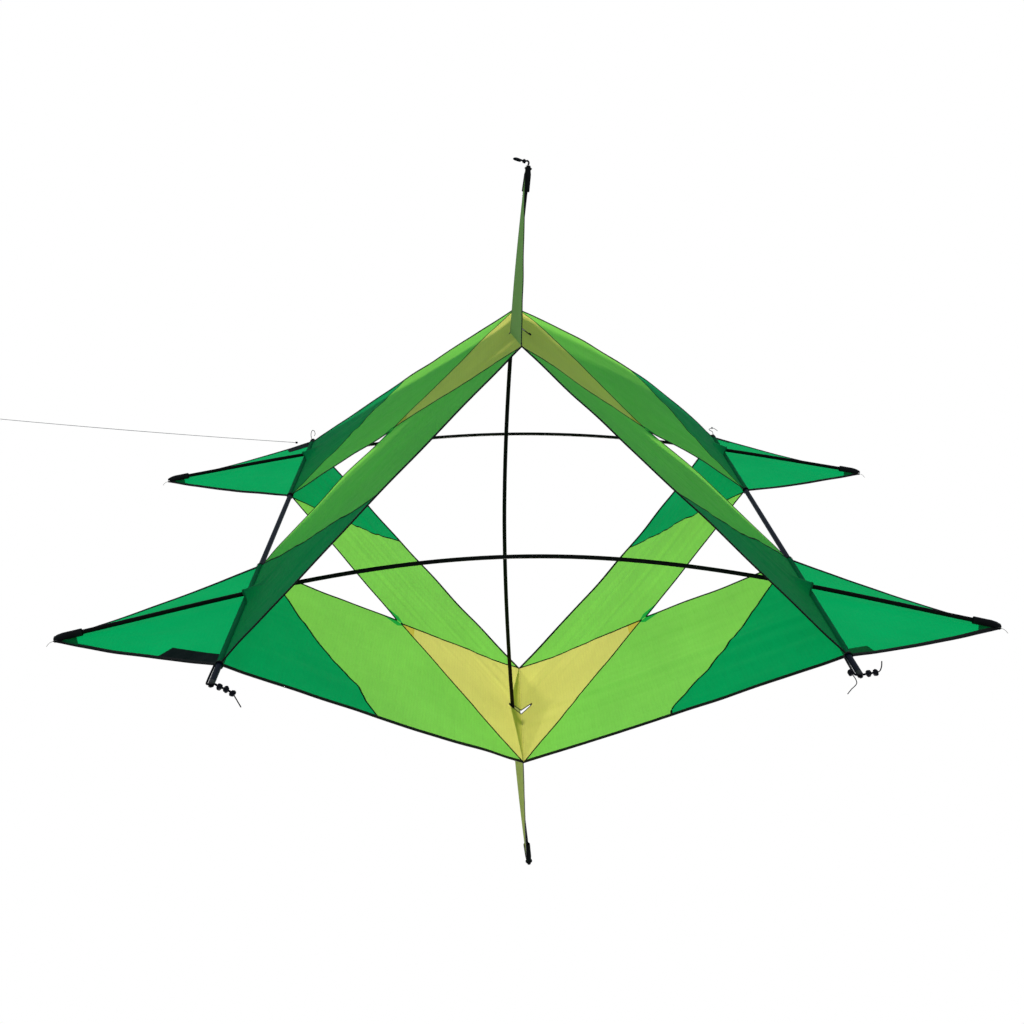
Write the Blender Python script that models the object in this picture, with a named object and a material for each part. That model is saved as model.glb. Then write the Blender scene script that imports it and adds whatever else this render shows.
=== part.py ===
"""A winged box kite: two side rods, two cells of forked sails, four side wings, two fins and three bowed spars.

Kite frame, in metres: X across the span, +Y from the near end to the far end, +Z up, centred on the kite.
Every object hangs from one empty, placed so that the knot of the flying line is the world's origin.
"""
import math

import bmesh
import bpy
from mathutils import Matrix, Vector

# Driving dimensions
HALF_SPAN = 0.610        # centre line to a wing tip
ROD_X = 0.374            # centre line to a longeron
RIDGE_Z = 0.310          # mid plane to the ridge, and to the keel
CELL_END_Y = 0.500       # outer end of a cell along the longeron
CELL_GAP_Y = 0.1667      # inner end of a cell along the longeron
RIDGE_HALF = 0.163       # half the length of the ridge and of the keel
NEAR_ROD_Y = -0.547      # near end of a longeron tube
FAR_ROD_Y = 0.508        # far end of a longeron tube

# Rods
LONGERON_RADIUS = 0.00375
LONGERON_BORE = 0.00275
SPAR_RADIUS = 0.0030
SPAR_END_X = 0.6075      # a spar stops here, inside its pocket
SPAR_TIP_Z = -0.0245
SPAR_RISE = 0.0529       # how far a cross spar bows up between its tips
FRONT_SPAR = (-0.355, 0.233, -0.094)
REAR_SPAR = (0.351, 0.165, -0.080)
MAST_TOP_Z = 0.533
MAST_FOOT_Z = -0.586
MAST_MIDDLE_X = -0.027   # the upright spar bows this far to the left
MAST_TIP_X = 0.010
MAST_POWER = 1.8

# Cloth
CLOTH = 0.0008
SEAM_GAP = 0.0002        # each panel stops this far short of its seam
RIDGE_CLEAR = 0.0008
SLEEVE_BORE = 0.0041
SLEEVE_RADIUS = 0.00475
CLOTH_CLEAR = 0.0052     # a panel starts this far from a longeron's axis
FORK = 0.50              # where the yellow triangle ends, as a share of the slope
FORK_NOTCH = 0.52        # where the two arms part
SEAM_FOOT = 0.50         # where a colour seam meets the outer edge
POCKET_CLEAR = 0.0047    # a tip's cloth lies this far below its spar's axis
PATCH_GAP = 0.0003

# Fittings and cords
POCKET_RADIUS = 0.0040
POCKET_LENGTH = 0.028
POCKET_END = 0.002       # thickness of a pocket's closed end
NOCK_LENGTH = 0.009
SLOT_WIDTH = 0.0031
SLOT_DEPTH = 0.0050
CORD_RADIUS = 0.0011
KNOT_RADIUS = 0.0034
TAIL_RADIUS = 0.0006
LINE_RADIUS = 0.0005
LINE_KNOT_RADIUS = 0.0026
FIT = 0.0003             # gap between pieces that touch
TOW_KNOT = Vector((-0.4020, 0.4860, 0.0030))
LINE_DIRECTION = Vector((-1.0, 0.0, 0.094)).normalized()
LINE_LENGTH = 0.540

SLOPE = Vector((ROD_X, 0.0, -RIDGE_Z))
SLOPE_LENGTH = SLOPE.length
SIDES = {"left": -1, "right": 1}
LEVELS = {"lower": -1, "upper": 1}
ENDS = {"front": -1, "rear": 1}

COLOURS = {
    "yellow_cloth": ((0.63, 0.60, 0.13), 0.60),
    "light_green_cloth": ((0.20, 0.54, 0.07), 0.60),
    "green_cloth": ((0.004, 0.31, 0.065), 0.60),
    "black_cloth": ((0.008, 0.010, 0.010), 0.80),
    "spar_black": ((0.006, 0.006, 0.006), 0.35),
    "longeron_navy": ((0.008, 0.012, 0.030), 0.40),
    "nock_black": ((0.010, 0.010, 0.011), 0.45),
    "cord_black": ((0.012, 0.012, 0.013), 0.75),
    "line_grey": ((0.42, 0.42, 0.42), 0.60),
}


def clear_scene():
    for old in list(bpy.data.objects):
        bpy.data.objects.remove(old, do_unlink=True)


def make_materials():
    made = {}
    for name, (colour, roughness) in COLOURS.items():
        material = bpy.data.materials.new(name)
        material.use_nodes = True
        shader = material.node_tree.nodes["Principled BSDF"]
        shader.inputs["Base Color"].default_value = (*colour, 1.0)
        shader.inputs["Roughness"].default_value = roughness
        shader.inputs["Metallic"].default_value = 0.0
        material.diffuse_color = (*colour, 1.0)
        made[name] = material
    return made


def place(name, data, material, parent):
    obj = bpy.data.objects.new(name, data)
    bpy.context.collection.objects.link(obj)
    obj.parent = parent
    if material is not None:
        data.materials.append(material)
    return obj


def mesh_from(bm, name):
    bmesh.ops.recalc_face_normals(bm, faces=bm.faces)
    mesh = bpy.data.meshes.new(name)
    bm.to_mesh(mesh)
    bm.free()
    return mesh


def solidify(obj, thickness):
    modifier = obj.modifiers.new("thickness", "SOLIDIFY")
    modifier.thickness = thickness
    modifier.offset = 0.0


def cut(obj, cutter):
    modifier = obj.modifiers.new("slit", "BOOLEAN")
    modifier.operation = "DIFFERENCE"
    modifier.solver = "EXACT"
    modifier.object = cutter


def box_cutter(name, centre, size, parent):
    bm = bmesh.new()
    bmesh.ops.create_cube(bm, size=1.0, matrix=Matrix.Diagonal((*size, 1.0)))
    obj = place(name, mesh_from(bm, name), None, parent)
    obj.location = centre
    obj.hide_render = True
    obj.display_type = "WIRE"
    return obj


def inset(outline, distance):
    """Moves every side of a flat outline inwards by distance."""
    area = sum(a.x * b.y - b.x * a.y for a, b in zip(outline, outline[1:] + outline[:1]))
    inward = 1.0 if area > 0 else -1.0
    moved = []
    for index, corner in enumerate(outline):
        before = (corner - outline[index - 1]).normalized()
        after = (outline[(index + 1) % len(outline)] - corner).normalized()
        first = Vector((-before.y, before.x)) * inward
        second = Vector((-after.y, after.x)) * inward
        moved.append(corner + (first + second) * (distance / (1.0 + first.dot(second))))
    return moved


def sheet(name, corners, material, parent):
    """One flat cloth panel, from its corners in order."""
    bm = bmesh.new()
    bm.faces.new([bm.verts.new(corner) for corner in corners])
    mesh = bpy.data.meshes.new(name)
    bm.to_mesh(mesh)
    bm.free()
    obj = place(name, mesh, material, parent)
    solidify(obj, CLOTH)
    return obj


def turned(name, profile, base, direction, material, parent, steps=20):
    """A turned solid. profile is a closed loop of (radius, distance along direction); a side on the axis is left out."""
    bm = bmesh.new()
    verts = [bm.verts.new((radius, 0.0, along)) for radius, along in profile]
    pairs = zip(verts, verts[1:] + verts[:1])
    edges = [bm.edges.new((a, b)) for a, b in pairs if a.co.x > 0.0 or b.co.x > 0.0]
    bmesh.ops.spin(bm, geom=verts + edges, cent=(0, 0, 0), axis=(0, 0, 1), angle=math.tau, steps=steps,
                   use_merge=True)
    bmesh.ops.remove_doubles(bm, verts=bm.verts, dist=1e-6)
    obj = place(name, mesh_from(bm, name), material, parent)
    obj.location = base
    obj.rotation_euler = direction.to_track_quat("Z", "Y").to_euler()
    return obj


def smooth_route(points, count):
    """count points, evenly spaced on a Catmull-Rom curve through the route's own points."""
    padded = [points[0] * 2 - points[1], *points, points[-1] * 2 - points[-2]]
    fine = []
    for a, b, c, d in zip(padded, padded[1:], padded[2:], padded[3:]):
        for step in range(24):
            t = step / 24
            fine.append(0.5 * (2 * b + (c - a) * t + (2 * a - 5 * b + 4 * c - d) * t * t
                               + (3 * b - a - 3 * c + d) * t ** 3))
    fine.append(points[-1].copy())
    lengths = [0.0]
    for a, b in zip(fine, fine[1:]):
        lengths.append(lengths[-1] + (b - a).length)
    even = []
    index = 0
    for step in range(count):
        target = lengths[-1] * step / (count - 1)
        while index < len(fine) - 2 and lengths[index + 1] < target:
            index += 1
        share = (target - lengths[index]) / (lengths[index + 1] - lengths[index])
        even.append(fine[index].lerp(fine[index + 1], min(max(share, 0.0), 1.0)))
    return even


def tube(name, points, radius, material, parent, radii=None, resolution=2):
    """A round bar or cord along points. radii scales the radius at each point."""
    curve = bpy.data.curves.new(name, "CURVE")
    curve.dimensions = "3D"
    curve.bevel_depth = radius
    curve.bevel_resolution = resolution
    curve.use_fill_caps = True
    spline = curve.splines.new("POLY")
    spline.points.add(len(points) - 1)
    for index, (target, point) in enumerate(zip(spline.points, points)):
        target.co = (*point, 1.0)
        target.radius = radii[index] if radii else 1.0
    return place(name, curve, material, parent)


def cross_spar_point(shape, x):
    """A point on a bowed cross spar's centre line. shape holds the tip's y and two bow heights."""
    tip_y, bow, flat = shape
    share = x / HALF_SPAN
    y = tip_y + bow * (1 - share ** 2) + flat * (1 - share ** 4)
    return Vector((x, y, SPAR_TIP_Z + SPAR_RISE * (1 - share ** 2)))


def mast_point(z):
    """A point on the upright spar's centre line."""
    reach = MAST_TOP_Z if z > 0 else MAST_FOOT_Z
    x = MAST_MIDDLE_X + (MAST_TIP_X - MAST_MIDDLE_X) * abs(z / reach) ** MAST_POWER
    return Vector((x, 0.0, z))


def slope_point(side, level, along, y):
    """A point on a quarter's plane, at a distance along the slope from the ridge or keel."""
    down = SLOPE * (along / SLOPE_LENGTH)
    return Vector((side * down.x, y, level * (RIDGE_Z + down.z)))


def quarter_outlines():
    """The five panels of one quarter of the sail, flat, as (distance down the slope, y)."""
    top = RIDGE_CLEAR
    rod = SLOPE_LENGTH - CLOTH_CLEAR
    fork = Vector((FORK * SLOPE_LENGTH, 0.0))
    notch = Vector((FORK_NOTCH * SLOPE_LENGTH, 0.0))
    foot_y = RIDGE_HALF + (CELL_END_Y - RIDGE_HALF) * SEAM_FOOT
    outlines = {"yellow": [Vector((top, -RIDGE_HALF)), Vector((top, RIDGE_HALF)), fork]}
    for end, sign in ENDS.items():
        ridge = Vector((top, sign * RIDGE_HALF))
        foot = Vector((SEAM_FOOT * SLOPE_LENGTH, sign * foot_y))
        inner = Vector((rod, sign * CELL_GAP_Y))
        outer = Vector((rod, sign * CELL_END_Y))
        outlines[f"{end}_light_green"] = [ridge, fork, notch, inner, foot]
        outlines[f"{end}_green"] = [inner, outer, foot]
    return outlines


def build_sails(materials, parent):
    """Four quarters of five panels, each panel its own piece of cloth."""
    panels = {}
    for level, up in LEVELS.items():
        for side, out in SIDES.items():
            for part, outline in quarter_outlines().items():
                name = f"{level}_{side}_{part}"
                corners = [slope_point(out, up, point.x, point.y) for point in inset(outline, SEAM_GAP)]
                colour = part.replace("front_", "").replace("rear_", "") + "_cloth"
                panels[name] = sheet(name, corners, materials[colour], parent)
    return panels


def cut_slits(panels, parent):
    """Slits that let the spars through: at each longeron, and beside the ridge and the keel."""
    for end, shape in (("front", FRONT_SPAR), ("rear", REAR_SPAR)):
        for side, out in SIDES.items():
            centre = cross_spar_point(shape, out * (ROD_X - 0.011))
            slit = box_cutter(f"slit_{end}_{side}", centre, (0.034, 0.012, 0.0085), parent)
            cut(panels[f"upper_{side}_{end}_green"], slit)
    for level, up in LEVELS.items():
        centre = mast_point(up * RIDGE_Z)
        slit = box_cutter(f"slit_{level}", centre + Vector((0.005, 0, 0)), (0.0195, 0.009, 0.040), parent)
        cut(panels[f"{level}_left_yellow"], slit)
        cut(panels[f"{level}_right_yellow"], slit)


def wing_corners(side, end_y, tip_y):
    """Root and tip of a side wing: its plane falls from the longeron to just under the spar's tip."""
    root_x = side * (ROD_X + CLOTH_CLEAR)
    tip = Vector((side * (HALF_SPAN + 0.003), tip_y, SPAR_TIP_Z - POCKET_CLEAR))
    return [Vector((root_x, math.copysign(CELL_GAP_Y, end_y), 0.0)), Vector((root_x, end_y, 0.0)), tip]


def build_wings(materials, parent):
    """Four side wings, with a black patch over each wing's outer corner."""
    for end, sign in ENDS.items():
        tip_y = cross_spar_point(FRONT_SPAR if sign < 0 else REAR_SPAR, SPAR_END_X).y
        for side, out in SIDES.items():
            inner, outer, tip = wing_corners(out, sign * CELL_END_Y, tip_y)
            sheet(f"{end}_{side}_wing", [inner, outer, tip], materials["green_cloth"], parent)
            length = 0.090 if (end, side) == ("front", "left") else 0.030
            build_patch(f"{end}_{side}_patch", inner, outer, tip, length, materials["black_cloth"], parent)


def build_patch(name, inner, outer, tip, length, material, parent):
    """A black strip lying on a wing along its outer edge, from the longeron outwards."""
    edge = (tip - outer).normalized()
    across = (inner - outer).normalized()
    normal = edge.cross(across).normalized()
    if normal.z < 0:
        normal.negate()
    lift = normal * (CLOTH + PATCH_GAP)
    start = outer + edge * 0.001 + across * 0.001
    corners = [start, start + edge * length, start + edge * length * 0.72 + across * 0.010, start + across * 0.014]
    sheet(name, [corner + lift for corner in corners], material, parent)


def build_fins(materials, parent):
    """The top and bottom fins: each is folded round the upright spar's left side."""
    rows = 8
    for name, up, tip_z in (("top_fin", 1, MAST_TOP_Z + 0.004), ("bottom_fin", -1, MAST_FOOT_Z - 0.004)):
        root_z = up * (RIDGE_Z + 0.0010)
        crest_z = up * (RIDGE_Z - 0.0100)
        tip = Vector((mast_point(tip_z).x - POCKET_CLEAR, 0.0, tip_z))
        bm = bmesh.new()
        lines = []
        for row in range(rows):
            share = row / rows
            z = crest_z + (tip_z - crest_z) * share
            crest = Vector((mast_point(z).x - POCKET_CLEAR, 0.0, z))
            front = Vector((0.0, -RIDGE_HALF, root_z)).lerp(tip, share)
            rear = Vector((0.0, RIDGE_HALF, root_z)).lerp(tip, share)
            lines.append([bm.verts.new(point) for point in (front, crest, rear)])
        point = bm.verts.new(tip)
        for low, high in zip(lines, lines[1:]):
            bm.faces.new((low[0], low[1], high[1], high[0]))
            bm.faces.new((low[1], low[2], high[2], high[1]))
        bm.faces.new((lines[-1][0], lines[-1][1], point))
        bm.faces.new((lines[-1][1], lines[-1][2], point))
        fin = place(name, mesh_from(bm, name), materials["yellow_cloth" if up < 0 else "light_green_cloth"], parent)
        solidify(fin, CLOTH)


def build_spars(materials, parent):
    """Two bowed cross spars and the bowed upright spar."""
    count = 61
    for name, shape in (("front_spar", FRONT_SPAR), ("rear_spar", REAR_SPAR)):
        points = [cross_spar_point(shape, -SPAR_END_X + 2 * SPAR_END_X * n / (count - 1)) for n in range(count)]
        tube(name, points, SPAR_RADIUS, materials["spar_black"], parent, resolution=4)
    length = MAST_TOP_Z - MAST_FOOT_Z
    points = [mast_point(MAST_FOOT_Z + length * n / (count - 1)) for n in range(count)]
    tube("upright_spar", points, SPAR_RADIUS, materials["spar_black"], parent, resolution=4)


def build_pockets(materials, parent):
    """Webbing pockets over the six spar tips."""
    bore = SPAR_RADIUS + FIT
    outer = POCKET_RADIUS
    length = POCKET_LENGTH
    floor = length - POCKET_END
    profile = [(bore, 0.0), (outer, 0.0), (outer, floor), (outer - 0.0014, length), (0.0, length),
               (0.0, floor), (bore, floor)]
    ends = []
    for end, shape in (("front", FRONT_SPAR), ("rear", REAR_SPAR)):
        for side, out in SIDES.items():
            tip = cross_spar_point(shape, out * SPAR_END_X)
            ends.append((f"{end}_{side}_pocket", tip, tip - cross_spar_point(shape, out * (SPAR_END_X - 0.02))))
    for name, z in (("top_pocket", MAST_TOP_Z), ("bottom_pocket", MAST_FOOT_Z)):
        tip = mast_point(z)
        ends.append((name, tip, tip - mast_point(z - math.copysign(0.02, z))))
    for name, tip, direction in ends:
        way = direction.normalized()
        base = tip - way * (floor - FIT)
        turned(name, profile, base, way, materials["black_cloth"], parent)


def build_longerons(materials, parent):
    """The side tubes, with a slotted nock in the near end and a plug in the far end."""
    length = FAR_ROD_Y - NEAR_ROD_Y
    tube_profile = [(LONGERON_BORE, 0.0), (LONGERON_RADIUS, 0.0), (LONGERON_RADIUS, length), (LONGERON_BORE, length)]
    plug = LONGERON_BORE - FIT
    nock_profile = [(0.0, -0.012), (plug, -0.012), (plug, FIT), (LONGERON_RADIUS, FIT),
                    (LONGERON_RADIUS, NOCK_LENGTH - 0.0006), (LONGERON_RADIUS - 0.0006, NOCK_LENGTH),
                    (0.0, NOCK_LENGTH)]
    plug_profile = [(0.0, -0.010), (plug, -0.010), (plug, FIT), (LONGERON_RADIUS - 0.0004, FIT),
                    (LONGERON_RADIUS - 0.0010, 0.0018), (0.0, 0.0018)]
    back = Vector((0, 1, 0))
    for side, out in SIDES.items():
        near = Vector((out * ROD_X, NEAR_ROD_Y, 0.0))
        far = Vector((out * ROD_X, FAR_ROD_Y, 0.0))
        turned(f"{side}_longeron", tube_profile, near, back, materials["longeron_navy"], parent, steps=24)
        nock = turned(f"{side}_nock", nock_profile, near, -back, materials["nock_black"], parent, steps=24)
        slot_centre = near - back * (NOCK_LENGTH - SLOT_DEPTH / 2 + 0.001)
        slot = box_cutter(f"{side}_nock_slot", slot_centre, (0.012, SLOT_DEPTH + 0.002, SLOT_WIDTH), parent)
        cut(nock, slot)
        turned(f"{side}_far_plug", plug_profile, far, back, materials["nock_black"], parent)


def build_sleeves(materials, parent):
    """Cloth sleeves that hold each longeron along both cells, and a closed pocket over its far end."""
    back = Vector((0, 1, 0))
    rear_end = CELL_END_Y - 0.012
    spans = {"front": (-CELL_END_Y, -CELL_GAP_Y), "rear": (CELL_GAP_Y, rear_end)}
    for side, out in SIDES.items():
        for end, (low, high) in spans.items():
            length = high - low
            profile = [(SLEEVE_BORE, 0.0), (SLEEVE_RADIUS, 0.0), (SLEEVE_RADIUS, length), (SLEEVE_BORE, length)]
            base = Vector((out * ROD_X, low, 0.0))
            turned(f"{end}_{side}_sleeve", profile, base, back, materials["green_cloth"], parent, steps=16)
        length = FAR_ROD_Y + 0.004 - rear_end
        profile = [(SLEEVE_BORE, FIT), (SLEEVE_RADIUS, FIT), (SLEEVE_RADIUS, length - 0.001),
                   (SLEEVE_RADIUS - 0.001, length), (0.0, length), (0.0, length - 0.001), (SLEEVE_BORE, length - 0.001)]
        base = Vector((out * ROD_X, rear_end, 0.0))
        turned(f"{side}_far_pocket", profile, base, back, materials["black_cloth"], parent, steps=16)


def knotted(name, route, knots, radius, material, parent, count=76, knot_radius=KNOT_RADIUS):
    """A cord along a route, swelling into a knot at each route point that knots names."""
    points = smooth_route(route, count)
    radii = []
    for point in points:
        swell = 0.0
        for knot in knots:
            distance = (point - route[knot]).length / (knot_radius * 1.15)
            swell = max(swell, math.sqrt(max(0.0, 1.0 - distance ** 2)))
        radii.append(1.0 + (knot_radius / radius - 1.0) * swell)
    return tube(name, points, radius, material, parent, radii)


def build_tension_cords(materials, parent):
    """The elastic cords that pull the sail to the nocks: along the tube, through the slot, then knots and a tail."""
    slot_y = NEAR_ROD_Y - NOCK_LENGTH + SLOT_DEPTH - CORD_RADIUS - FIT
    start_y = -CELL_END_Y - 0.002
    routes = {
        "left": ([(-5.6, start_y, 0), (-5.8, NEAR_ROD_Y + 0.004, 0), (-4.9, slot_y - 0.0004, 0), (0, slot_y, 0),
                  (4.0, slot_y - 0.0006, -0.1), (9.4, slot_y - 0.0016, -3.2), (16.8, slot_y - 0.002, -6.4), (24.0, slot_y - 0.003, -11.0),
                  (27.5, slot_y - 0.004, -17.0), (33.0, slot_y - 0.006, -27.0)], (5, 6, 7)),
        "right": ([(-5.6, start_y, 0), (-6.2, NEAR_ROD_Y + 0.004, 0), (-5.2, slot_y - 0.0004, 0), (0, slot_y, 0),
                   (4.0, slot_y - 0.0006, 0.1), (9.4, slot_y - 0.0016, 2.0), (17.2, slot_y - 0.003, 3.4), (21.5, slot_y - 0.004, 6.0),
                   (22.8, slot_y - 0.005, 12.0), (22.3, slot_y - 0.006, 19.0)], (5, 6)),
    }
    for side, out in SIDES.items():
        route, knots = routes[side]
        points = [Vector((out * ROD_X + x / 1000, y, z / 1000)) for x, y, z in route]
        knotted(f"{side}_tension_cord", points, knots, CORD_RADIUS, materials["cord_black"], parent)


def build_small_cords(materials, parent):
    """The hanging loop on the top pocket and the short cord ends behind the far pockets."""
    tip = mast_point(MAST_TOP_Z)
    base = tip + Vector((0.0, 0.0, POCKET_END + 2 * FIT + CORD_RADIUS))
    route = [(0.4, 0, 0), (0.9, 0, 2.6), (-1.4, -0.6, 5.0), (-6.0, -1.6, 4.4), (-11.0, -3.4, 5.4), (-17.0, -3.6, 7.2),
             (-20.5, 0, 7.4), (-17.0, 3.4, 7.0), (-11.0, 3.0, 5.8)]
    points = [base + Vector((x, y, z)) / 1000 for x, y, z in route]
    knotted("top_loop", points, (3,), CORD_RADIUS, materials["cord_black"], parent, count=48, knot_radius=0.0026)
    far_y = FAR_ROD_Y - 0.004
    lift = SLEEVE_RADIUS + FIT + TAIL_RADIUS
    tails = {
        "left": ([(-2.2, 0, 0), (-2.8, 1, 8.0), (-0.5, 2, 14.5), (3.0, 3, 14.0), (4.6, 3, 8.5), (3.2, 2, 4.5)], ()),
        "right": ([(0, 0, 0), (-1.5, 1, 5.0), (-7.5, 2, 8.5), (-2.0, 3, 11.5), (4.5, 3, 9.0), (8.5, 2, 6.0)],
                  (3,)),
    }
    for side, out in SIDES.items():
        route, knots = tails[side]
        points = [Vector((out * ROD_X + x / 1000, far_y + y / 1000, lift + z / 1000)) for x, y, z in route]
        knotted(f"{side}_far_cord", points, knots, TAIL_RADIUS, materials["cord_black"], parent, count=30,
                knot_radius=0.0016)


def ball(name, centre, radius, material, parent):
    bm = bmesh.new()
    bmesh.ops.create_uvsphere(bm, u_segments=16, v_segments=10, radius=radius)
    obj = place(name, mesh_from(bm, name), material, parent)
    obj.location = centre
    return obj


def build_flying_line(materials, parent):
    """The taut flying line, from its knot over the rear left patch to a knot at its far end."""
    ball("tow_knot", TOW_KNOT, LINE_KNOT_RADIUS, materials["cord_black"], parent)
    start = TOW_KNOT + LINE_DIRECTION * (LINE_KNOT_RADIUS + FIT)
    count = 41
    points = [start + LINE_DIRECTION * (LINE_LENGTH * n / (count - 1)) for n in range(count)]
    tube("flying_line", points, LINE_RADIUS, materials["line_grey"], parent)
    end = points[-1] + LINE_DIRECTION * (LINE_KNOT_RADIUS + FIT)
    ball("line_end_knot", end, LINE_KNOT_RADIUS, materials["line_grey"], parent)


def main():
    clear_scene()
    materials = make_materials()
    kite = bpy.data.objects.new("kite_centre", None)
    bpy.context.collection.objects.link(kite)
    kite.location = -TOW_KNOT
    panels = build_sails(materials, kite)
    cut_slits(panels, kite)
    build_wings(materials, kite)
    build_fins(materials, kite)
    build_spars(materials, kite)
    build_pockets(materials, kite)
    build_longerons(materials, kite)
    build_sleeves(materials, kite)
    build_tension_cords(materials, kite)
    build_small_cords(materials, kite)
    build_flying_line(materials, kite)


main()
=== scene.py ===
"""Looks of a winged box kite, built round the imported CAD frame.

Kite coordinates: metres, X across the span, +Y from the near end to the far end, +Z up, centred on the kite.
Cloth coordinates: r is the distance down a sail's slope from its ridge or keel, and y is the kite's y.
"""
import math
from bisect import bisect_left
from functools import partial

import bpy
from mathutils import Euler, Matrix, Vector, noise
from mathutils.geometry import delaunay_2d_cdt


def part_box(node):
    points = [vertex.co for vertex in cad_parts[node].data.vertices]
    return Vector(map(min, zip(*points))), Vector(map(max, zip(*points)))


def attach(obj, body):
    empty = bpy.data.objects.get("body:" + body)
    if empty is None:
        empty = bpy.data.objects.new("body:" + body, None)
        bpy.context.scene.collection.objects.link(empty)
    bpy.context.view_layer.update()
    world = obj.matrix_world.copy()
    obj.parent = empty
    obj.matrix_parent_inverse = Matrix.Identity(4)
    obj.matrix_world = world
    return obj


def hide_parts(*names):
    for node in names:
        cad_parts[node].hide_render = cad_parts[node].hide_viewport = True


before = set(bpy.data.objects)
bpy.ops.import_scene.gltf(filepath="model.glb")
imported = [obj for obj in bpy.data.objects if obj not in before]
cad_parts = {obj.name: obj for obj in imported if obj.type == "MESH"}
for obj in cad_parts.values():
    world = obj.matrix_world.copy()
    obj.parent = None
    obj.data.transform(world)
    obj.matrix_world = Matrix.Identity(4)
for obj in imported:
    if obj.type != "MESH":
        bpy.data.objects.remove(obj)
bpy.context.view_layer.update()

MM = 0.001
SIDES = {"left": -1, "right": 1}
LEVELS = {"lower": -1, "upper": 1}
ENDS = {"front": -1, "rear": 1}


# ---------------------------------------------------------------- sizes, read from the frame

def centre_of(node):
    low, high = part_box(node)
    return (low + high) / 2


LEFT_ROD, RIGHT_ROD = centre_of("left_longeron"), centre_of("right_longeron")
CENTRE = Vector(((LEFT_ROD.x + RIGHT_ROD.x) / 2, centre_of("upper_left_yellow").y, LEFT_ROD.z))
ROD_X = (RIGHT_ROD.x - LEFT_ROD.x) / 2
RIDGE_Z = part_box("upper_right_yellow")[1].z - CENTRE.z + 0.3 * MM
RIDGE_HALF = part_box("upper_right_yellow")[1].y - CENTRE.y + 0.3 * MM
CELL_END = CENTRE.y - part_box("front_left_sleeve")[0].y
CELL_GAP = CENTRE.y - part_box("front_left_sleeve")[1].y
SLOPE_LENGTH = math.hypot(ROD_X, RIDGE_Z)
SLOPE_COS, SLOPE_SIN = ROD_X / SLOPE_LENGTH, RIDGE_Z / SLOPE_LENGTH

# Sizes and routes, in metres. They are part.py's, except for the fuller pockets and knots.
HALF_SPAN = 0.610
SPAR_RADIUS = 0.0030
SPAR_END_X = 0.6075
SPAR_TIP_Z = -0.0245
SPAR_RISE = 0.0529
SPARS = {"front": (-0.355, 0.233, -0.094), "rear": (0.351, 0.165, -0.080)}
MAST_TOP_Z = 0.533
MAST_FOOT_Z = -0.586
MAST_MIDDLE_X = -0.027
MAST_TIP_X = 0.010
MAST_POWER = 1.8
NEAR_ROD_Y = -0.547
FAR_ROD_Y = 0.508
NOCK_LENGTH = 0.009
SLOT_DEPTH = 0.0050
SLEEVE_RADIUS = 0.00475
POCKET_LENGTH = 0.034
POCKET_CLEAR = 0.0047
POCKET_END = 0.002
POCKET_LIP = 0.0022      # the flat web past a pocket's closed end
CORD_RADIUS = 0.0011
FUZZ = 1.25              # how much fuller the braid is than its solid
TAIL_RADIUS = 0.0006
LINE_RADIUS = 0.0005
KNOT_RADIUS = 0.0046
LINE_KNOT_RADIUS = 0.0026
FIT = 0.0003
TOW_KNOT = Vector((-0.4020, 0.4860, 0.0030))
LINE_DIRECTION = Vector((-1.0, 0.0, 0.094)).normalized()
LINE_LENGTH = 0.540
LINE_SAG = 0.002
FORK = 0.50
FORK_NOTCH = 0.52
SEAM_FOOT = 0.50
FORK_R, NOTCH_R = FORK * SLOPE_LENGTH, FORK_NOTCH * SLOPE_LENGTH
SLEEVE_END = CELL_END - 0.012

TENT_START = 0.346       # where the arches over the cross spars begin, across the kite
TENT_WIDTH = 0.0125
TENT_HEIGHT = 0.0150

# Cloth detail
CLOTH_STEP = 0.0045      # distance between the points of a cloth mesh
EDGE_STEP = 0.0040       # distance between the rings of a binding or seam
STITCH_LENGTH = 0.0028
STITCH_PITCH = 0.0042
STITCH_RADIUS = 0.00022
SLIT_STEP = 0.0012       # distance between the rings of a slit's binding
TUBE_WALL = 0.0003       # cloth thickness of the sleeves and pockets
DOUBLED = 0.026          # how far the doubled cloth at a fork reaches
TIP_PATCH = 0.046        # how far the doubled cloth at a wing tip reaches
PATCH_STEP = 0.003
PATCH_LIFT = 0.0006      # how far a patch lies over its wing


def at(point):
    """A point of kite coordinates in the row frame."""
    return CENTRE + Vector(point)


def clamp(value):
    return min(max(value, 0.0), 1.0)


def ease(value):
    value = clamp(value)
    return value * value * (3 - 2 * value)


def end_at(y):
    return "front" if y < 0 else "rear"


def cross_spar_point(end, x):
    tip_y, bow, flat = SPARS[end]
    share = x / HALF_SPAN
    y = tip_y + bow * (1 - share ** 2) + flat * (1 - share ** 4)
    return Vector((x, y, SPAR_TIP_Z + SPAR_RISE * (1 - share ** 2)))


def mast_point(z):
    reach = MAST_TOP_Z if z > 0 else MAST_FOOT_Z
    x = MAST_MIDDLE_X + (MAST_TIP_X - MAST_MIDDLE_X) * abs(z / reach) ** MAST_POWER
    return Vector((x, 0.0, z))


# ---------------------------------------------------------------- camera, floor and light

CAMERA_PLACE = (0.33889, -2.5107, 0.68203)
CAMERA_DEGREES = (71.876, 0.238, -1.431)
CAMERA_LENS = 49.22
CAMERA_SENSOR = 36.0
FLOOR_SIZE = 40.0
FLOOR_DROP = 1.30
SKY_COLOUR = (0.80, 0.92, 1.0, 1.0)
SKY_STRENGTH = 0.34
WHITE = (1.0, 1.0, 1.0, 1.0)
LAMP_COLOUR = (1.0, 0.985, 0.94)
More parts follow.
